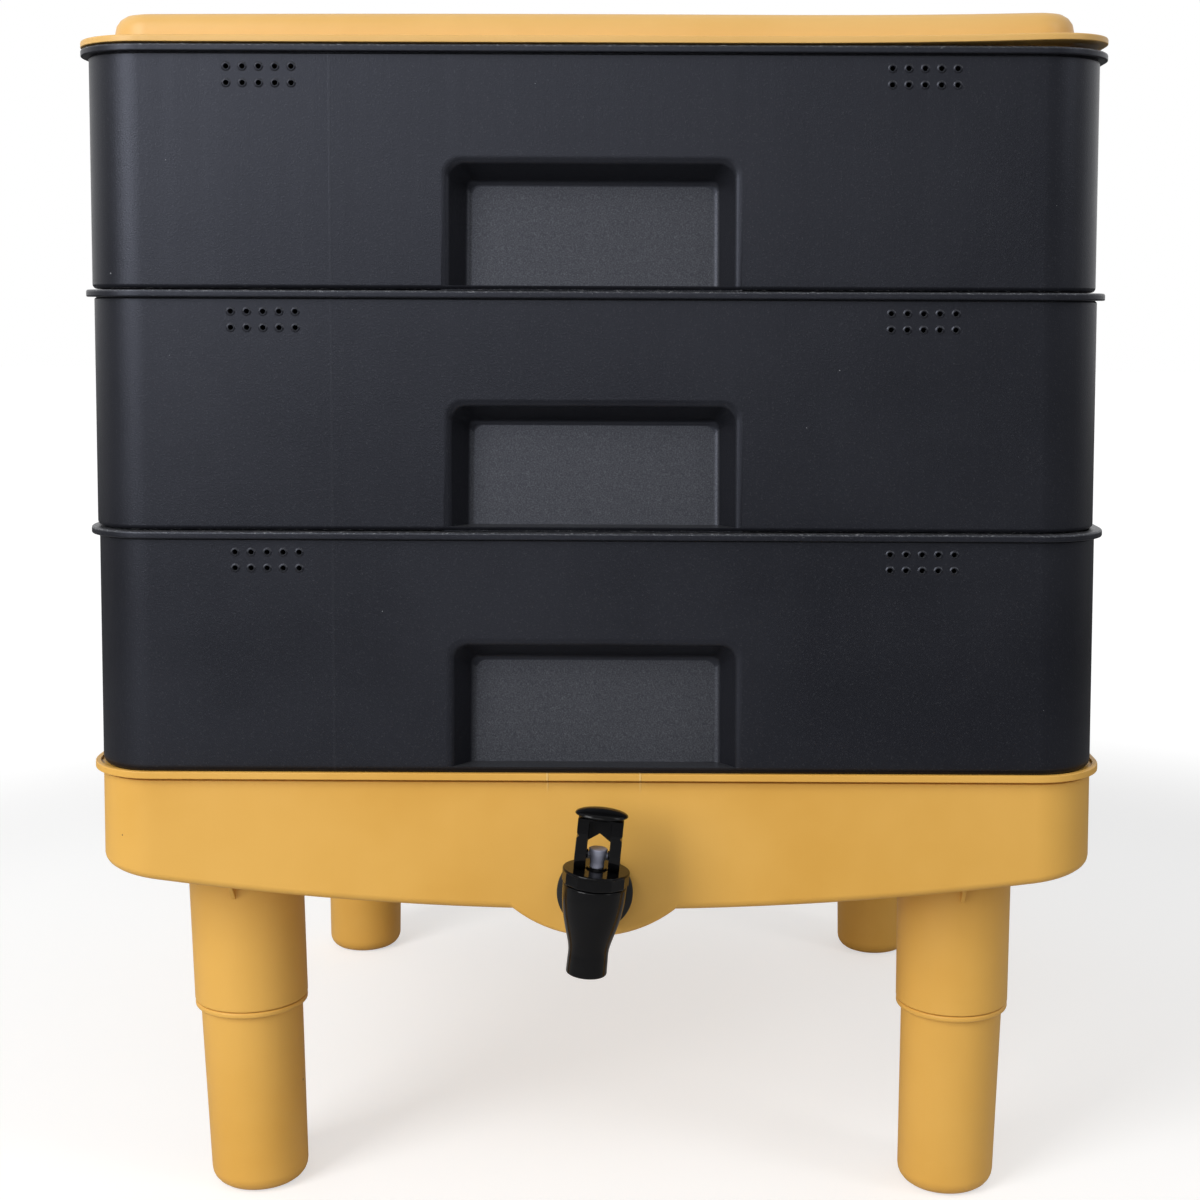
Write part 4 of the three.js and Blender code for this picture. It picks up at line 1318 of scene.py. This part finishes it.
def make_bonnet():
    """The cap screwed on the barrel: gripping flats, a plain band above them, and the stem's collar."""
    foot = BARREL_TOP + SEAT_GAP
    flat_top = BONNET_TOP - BONNET_BAND
    roof = BONNET_TOP - BONNET_ROOF
    collar_top = BONNET_TOP + COLLAR_RISE
    band = rounded(
        [(0, flat_top), (BONNET_RADIUS, flat_top, CRISP), (BONNET_RADIUS, BONNET_TOP, SMALL),
         (BONNET_COLLAR + SMALL, BONNET_TOP, SMALL), (BONNET_COLLAR, collar_top, FINE), (0, collar_top)]
    )
    bonnet = turned("gloss_tap_bonnet", band, BARREL, RING_STEPS)
    grip_radius = BONNET_RADIUS - HAIR
    grip = [(0, foot), (grip_radius - FINE, foot), (grip_radius, foot + FINE),
            (grip_radius, flat_top + OVERRUN), (0, flat_top + OVERRUN)]
    combine(bonnet, soften(turned("grip", grip, BARREL, BONNET_FLATS), FINE), "UNION")
    hole = STEM_RADIUS + STEM_PLAY
    bore = NECK_RADIUS + SEAT_GAP
    inside = [(0, foot - OVERRUN), (bore, foot - OVERRUN), (bore, roof), (hole, roof),
              (hole, collar_top + OVERRUN), (0, collar_top + OVERRUN)]
    combine(bonnet, turned("inside", inside, BARREL))
    put_tap_piece(bonnet, "tap_bonnet", "base", TAP_PLASTIC)


def cross_rod(name, radius, length):
    """A rod across the tap at the height of the handle's pin."""
    across = rod(name, radius, -length / 2, length / 2, steps=PIN_STEPS, axis="Y")
    turn(across, QUARTER, "Z", (0, 0, 0))
    return shift(across, BARREL + Vector((0, 0, PIN_HEIGHT)))


def make_stem():
    seat = CHAMBER_FLOOR + PLUG_HEIGHT / 2
    foot = BONNET_TOP + COLLAR_RISE + SEAT_GAP
    section = rounded(
        [(0, seat), (STEM_RADIUS, seat, FINE), (STEM_RADIUS, foot), (STEM_FOOT, foot, STEM_EDGE),
         (STEM_WAIST, STEM_TOP - STEM_FLARE, STEM_WAIST_CURVE),
         (STEM_HEAD - STEM_EDGE, STEM_TOP - STEM_CHEEK, GENEROUS), (STEM_HEAD, STEM_TOP, THIN),
         (0, STEM_TOP)],
        steps=6,
    )
    stem = turned("grey_valve_stem", section, BARREL, SMALL_STEPS)
    combine(stem, cross_rod("hole", PIN_RADIUS + SEAT_GAP, 4 * STEM_HEAD))
    put_tap_piece(stem, "valve_stem", "stem", STEM_GREY)
    pin = soften(cross_rod("grey_handle_pin", PIN_RADIUS, PIN_LENGTH), STEM_EDGE)
    put_tap_piece(pin, "handle_pin", "stem", STEM_GREY)


def make_plug():
    foot = CHAMBER_FLOOR + SEAT_GAP
    socket = STEM_RADIUS + SEAT_GAP
    top = CHAMBER_FLOOR + PLUG_HEIGHT
    floor = CHAMBER_FLOOR + PLUG_HEIGHT / 2 - SEAT_GAP
    section = rounded(
        [(0, foot), (PLUG_RADIUS, foot, BROAD), (PLUG_RADIUS, (foot + top) / 2, SOFT),
         ((socket + PLUG_RADIUS) / 2, top, SMALL), (socket, top, FINE), (socket, floor), (0, floor)]
    )
    plug = turned("soft_valve_plug", section, BARREL, SMALL_STEPS)
    put_tap_piece(plug, "valve_plug", "stem", PLUG_RUBBER)


def handle_fork():
    """The fork's front outline crossed with its side outline, whose heel is a cam."""
    half = HANDLE_WIDTH / 2
    gap = ARM_GAP / 2
    heel = PIN_HEIGHT - BONNET_TOP - SEAT_GAP
    foot = PIN_HEIGHT - heel
    reach = 2 * (heel + HEEL_LIFT + OVERRUN)
    right = [
        (0, HANDLE_APEX),
        (gap, HANDLE_SHOULDER),
        (gap, foot - OVERRUN),
        (half, foot - OVERRUN),
        (half, HANDLE_WAIST - HANDLE_NOTCH),
        (half - HANDLE_NOTCH, HANDLE_WAIST),
        (half, HANDLE_WAIST + HANDLE_NOTCH),
        (half, HANDLE_TOP),
    ]
    left = [(-across, height) for across, height in reversed(right[1:])]
    front = slab("gloss_tap_handle", [BARREL + Vector((x, 0, z)) for x, z in right + left], (0, reach, 0))
    rate = HEEL_LIFT / QUARTER
    side = [(HANDLE_DEPTH / 2, foot)]
    for step in range(HEEL_STEPS + 1):
        angle = step / HEEL_STEPS * QUARTER
        support = heel + rate * angle
        across = -support * math.sin(angle) - rate * math.cos(angle)
        side.append((across, PIN_HEIGHT - support * math.cos(angle) + rate * math.sin(angle)))
    face = HANDLE_DEPTH / 2
    side += [(-face, HANDLE_APEX), (-face, HANDLE_TOP), (face, HANDLE_TOP)]
    profile = slab("side", [BARREL + Vector((0, y, z)) for y, z in side], (HANDLE_WIDTH + OVERRUN, 0, 0))
    combine(front, profile, "INTERSECT")
    corners = ((-gap, HANDLE_SHOULDER), (gap, HANDLE_SHOULDER), (gap, CHANNEL_TOP), (-gap, CHANNEL_TOP))
    corners = [BARREL + Vector((x, -face, z)) for x, z in corners]
    return combine(front, slab("channel", corners, (0, 2 * CHANNEL_DEPTH, 0)))


def make_handle():
    handle = soften(handle_fork(), HANDLE_EDGE, segments=3)
    foot = HANDLE_TOP - OVERRUN
    dome = []
    for step in range(DOME_STEPS):
        angle = QUARTER * step / DOME_STEPS
        dome.append((CAP_RADIUS * math.cos(angle), CAP_EDGE + (CAP_TOP - CAP_EDGE) * math.sin(angle)))
    under = [(0, foot), (HANDLE_WIDTH / 4, foot), (CAP_RADIUS * CAP_FLARE, CAP_EDGE - BROAD),
             (CAP_RADIUS - CRISP, CAP_EDGE - FINE)]
    cap = turned("cap", under + dome + [(0, CAP_TOP)])
    edit(cap)
    bpy.ops.transform.resize(value=(1, CAP_DEPTH_SHARE, 1), center_override=(0, 0, 0))
    bpy.ops.object.mode_set(mode="OBJECT")
    combine(handle, shift(cap, BARREL), "UNION")
    combine(handle, cross_rod("pin_bosses", PIN_BOSS, ARM_GAP + HANDLE_WIDTH / 4), "UNION")
    reach = 3 * PIN_BOSS
    middle = BARREL + Vector((0, 0, PIN_HEIGHT))
    corners = ((-reach, -reach), (reach, -reach), (reach, reach), (-reach, reach))
    corners = [middle + Vector((0, y, z)) for y, z in corners]
    combine(handle, slab("space", corners, (2 * STEM_HEAD + SEAT_GAP, 0, 0)))
    combine(handle, cross_rod("hole", PIN_RADIUS + SEAT_GAP, PIN_LENGTH + 2 * SEAT_GAP))
    put_tap_piece(handle, "tap_handle", "handle", TAP_PLASTIC)


def ring_round_shank(name, radius, first, last):
    """A flat ring on the shank, between two distances from the base wall's face."""
    inner = SHANK_RADIUS + SEAT_GAP
    seam = (inner, (first + last) / 2)
    section = rounded(
        [seam, (inner, first, THIN), (radius, first, THIN), (radius, last, THIN), (inner, last, THIN), seam]
    )
    return turned(name, section, INLET, RING_STEPS, "Y")


def make_fixings():
    """The washers either side of the base wall and the nut inside."""
    washer = ring_round_shank("rubber_tap_washer", WASHER_RADIUS, -WASHER_THICKNESS - SEAT_GAP, -SEAT_GAP)
    put_tap_piece(washer, "tap_washer", "base", WASHER_RUBBER)
    first = BASE_WALL + SEAT_GAP
    inner = ring_round_shank("rubber_inner_washer", INNER_WASHER_RADIUS, first, first + WASHER_THICKNESS)
    put_tap_piece(inner, "inner_washer", "base", WASHER_RUBBER)
    near = BASE_WALL + WASHER_THICKNESS + 3 * SEAT_GAP
    far = near + NUT_THICKNESS
    nut = rod("gloss_tap_nut", NUT_WIDTH / math.sqrt(3), near, far, INLET, NUT_SIDES, "Y")
    combine(nut, rod("bore", SHANK_RADIUS + SEAT_GAP, near - OVERRUN, far + OVERRUN, INLET, axis="Y"))
    put_tap_piece(soften(nut, THIN), "tap_nut", "base", TAP_PLASTIC)


make_trays()
make_base()
make_leg_tubes()
make_legs()
make_lid()
make_tap_body()
make_bonnet()
make_stem()
make_plug()
make_handle()
make_fixings()


# Floor, light and camera

WHITE = (1, 1, 1, 1)
FLOOR_SIZE = 24.0
FLOOR_GLOW = 0.55  # the white added to the floor near the object, where only the camera sees it
FAR_GLOW = 1.0  # and far from it, where the floor runs into the white behind
FADE = (0.5, 1.2)  # metres from the middle between which the one runs into the other
FLOOR_PALE = (0.55, 0.55, 0.55, 1)
FLOOR_PALER = (0.58, 0.58, 0.58, 1)
FLOOR_FAR = (0.10, 0.10, 0.10, 1)  # the studio beyond the pale sheet
FLOOR_ROUGHNESS = 0.9
FLOOR_SPECULAR = 0.1


def make_floor():
    """A pale studio floor; to the camera it is white and keeps the object's soft shadow."""
    bpy.ops.object.select_all(action="DESELECT")
    bpy.ops.mesh.primitive_plane_add(size=FLOOR_SIZE, location=(0, 0, 0))
    floor = bpy.context.object
    floor.name = "studio_floor"
    paint, tree, shader = material("floor_paint", FLOOR_SPECULAR)
    shader.inputs["Roughness"].default_value = FLOOR_ROUGHNESS
    here = place_on_piece(tree)
    cloud = add(tree, "ShaderNodeTexNoise", {"Vector": here, "Scale": 1.5, "Detail": 2.0})
    away = add(tree, "ShaderNodeVectorMath", {0: here}, operation="LENGTH").outputs["Value"]
    far = ramp(tree, away, *FADE)
    sheet = tint(tree, cloud.outputs["Fac"], FLOOR_PALE, FLOOR_PALER)
    tree.links.new(tint(tree, far, sheet, FLOOR_FAR), shader.inputs["Base Color"])
    glow = ramp(tree, far, 0.0, 1.0, FLOOR_GLOW, FAR_GLOW)
    rays = add(tree, "ShaderNodeLightPath").outputs
    seen = by(tree, rays["Is Camera Ray"], glow)
    white = add(tree, "ShaderNodeEmission", {"Color": WHITE, "Strength": seen})
    both = add(tree, "ShaderNodeAddShader", {0: shader.outputs[0], 1: white.outputs[0]})
    tree.links.new(both.outputs[0], tree.nodes["Material Output"].inputs["Surface"])
    floor.data.materials.append(paint)


AMBIENT = 0.44  # the studio's own light
BEHIND = (-0.25, 0.25)  # Y of a direction over which the studio turns to the white backdrop


def make_world():
    """White behind the object and in its reflections, and the studio's softer light all round it."""
    world = bpy.data.worlds.new("studio")
    bpy.context.scene.world = world
    world.use_nodes = True
    tree = world.node_tree
    way = add(tree, "ShaderNodeTexCoord").outputs["Generated"]
    ways = add(tree, "ShaderNodeSeparateXYZ", {"Vector": way}).outputs
    behind = ramp(tree, ways["Y"], *BEHIND)
    rays = add(tree, "ShaderNodeLightPath").outputs
    mirrored = maths(tree, "ADD", rays["Is Glossy Ray"], rays["Is Transmission Ray"])
    white = maths(tree, "ADD", rays["Is Camera Ray"], by(tree, mirrored, behind))
    backdrop = tree.nodes["Background"]
    backdrop.inputs["Color"].default_value = WHITE
    tree.links.new(ramp(tree, white, 0.0, 1.0, AMBIENT, 1.0), backdrop.inputs["Strength"])


# Each soft box: azimuth and elevation in degrees, distance, width and height in metres, and watts
SOFT_BOXES = {
    "key": (-40, 25, 2.2, 0.9, 1.6, 33.0),
    "front": (-14, 14, 2.6, 1.8, 1.1, 10.0),
    "fill": (58, 30, 2.4, 0.5, 1.2, 7.0),
}


def make_light(name, azimuth, elevation, distance, width, height, power):
    """A soft box that looks at the middle of the wormery; azimuth is from the front towards the right."""
    target = Vector((0, 0, (cad_low.z + cad_high.z) / 2))
    turn_by = math.radians(azimuth)
    lift = math.radians(elevation)
    way = Vector((math.sin(turn_by) * math.cos(lift), -math.cos(turn_by) * math.cos(lift), math.sin(lift)))
    lamp = bpy.data.lights.new(name, "AREA")
    lamp.shape = "RECTANGLE"
    lamp.size = width
    lamp.size_y = height
    lamp.energy = power
    box = bpy.data.objects.new(name, lamp)
    bpy.context.scene.collection.objects.link(box)
    box.location = target + way * distance
    box.rotation_euler = (-way).to_track_quat("-Z", "Y").to_euler()


CAMERA_PLACE = (0.034967, -1.022963, 0.420143)
CAMERA_YAW = math.radians(0.1719)
CAMERA_PITCH = math.radians(86.0466)
CAMERA_ROLL = math.radians(0.2292)
CAMERA_LENS = 55.793
CAMERA_SENSOR = 36
CAMERA_SHIFT = (-0.055718, -0.13411)


def make_camera():
    lens = bpy.data.cameras.new("camera")
    lens.lens = CAMERA_LENS
    lens.sensor_width = CAMERA_SENSOR
    lens.shift_x, lens.shift_y = CAMERA_SHIFT
    camera = bpy.data.objects.new("camera", lens)
    bpy.context.scene.collection.objects.link(camera)
    aim = Matrix.Rotation(CAMERA_YAW, 4, "Z") @ Matrix.Rotation(CAMERA_PITCH, 4, "X")
    camera.matrix_world = Matrix.Translation(CAMERA_PLACE) @ aim @ Matrix.Rotation(CAMERA_ROLL, 4, "Z")
    bpy.context.scene.camera = camera


make_floor()
make_world()
for name, setting in SOFT_BOXES.items():
    make_light(name, *setting)
make_camera()
bpy.context.scene.view_settings.view_transform = "Standard"
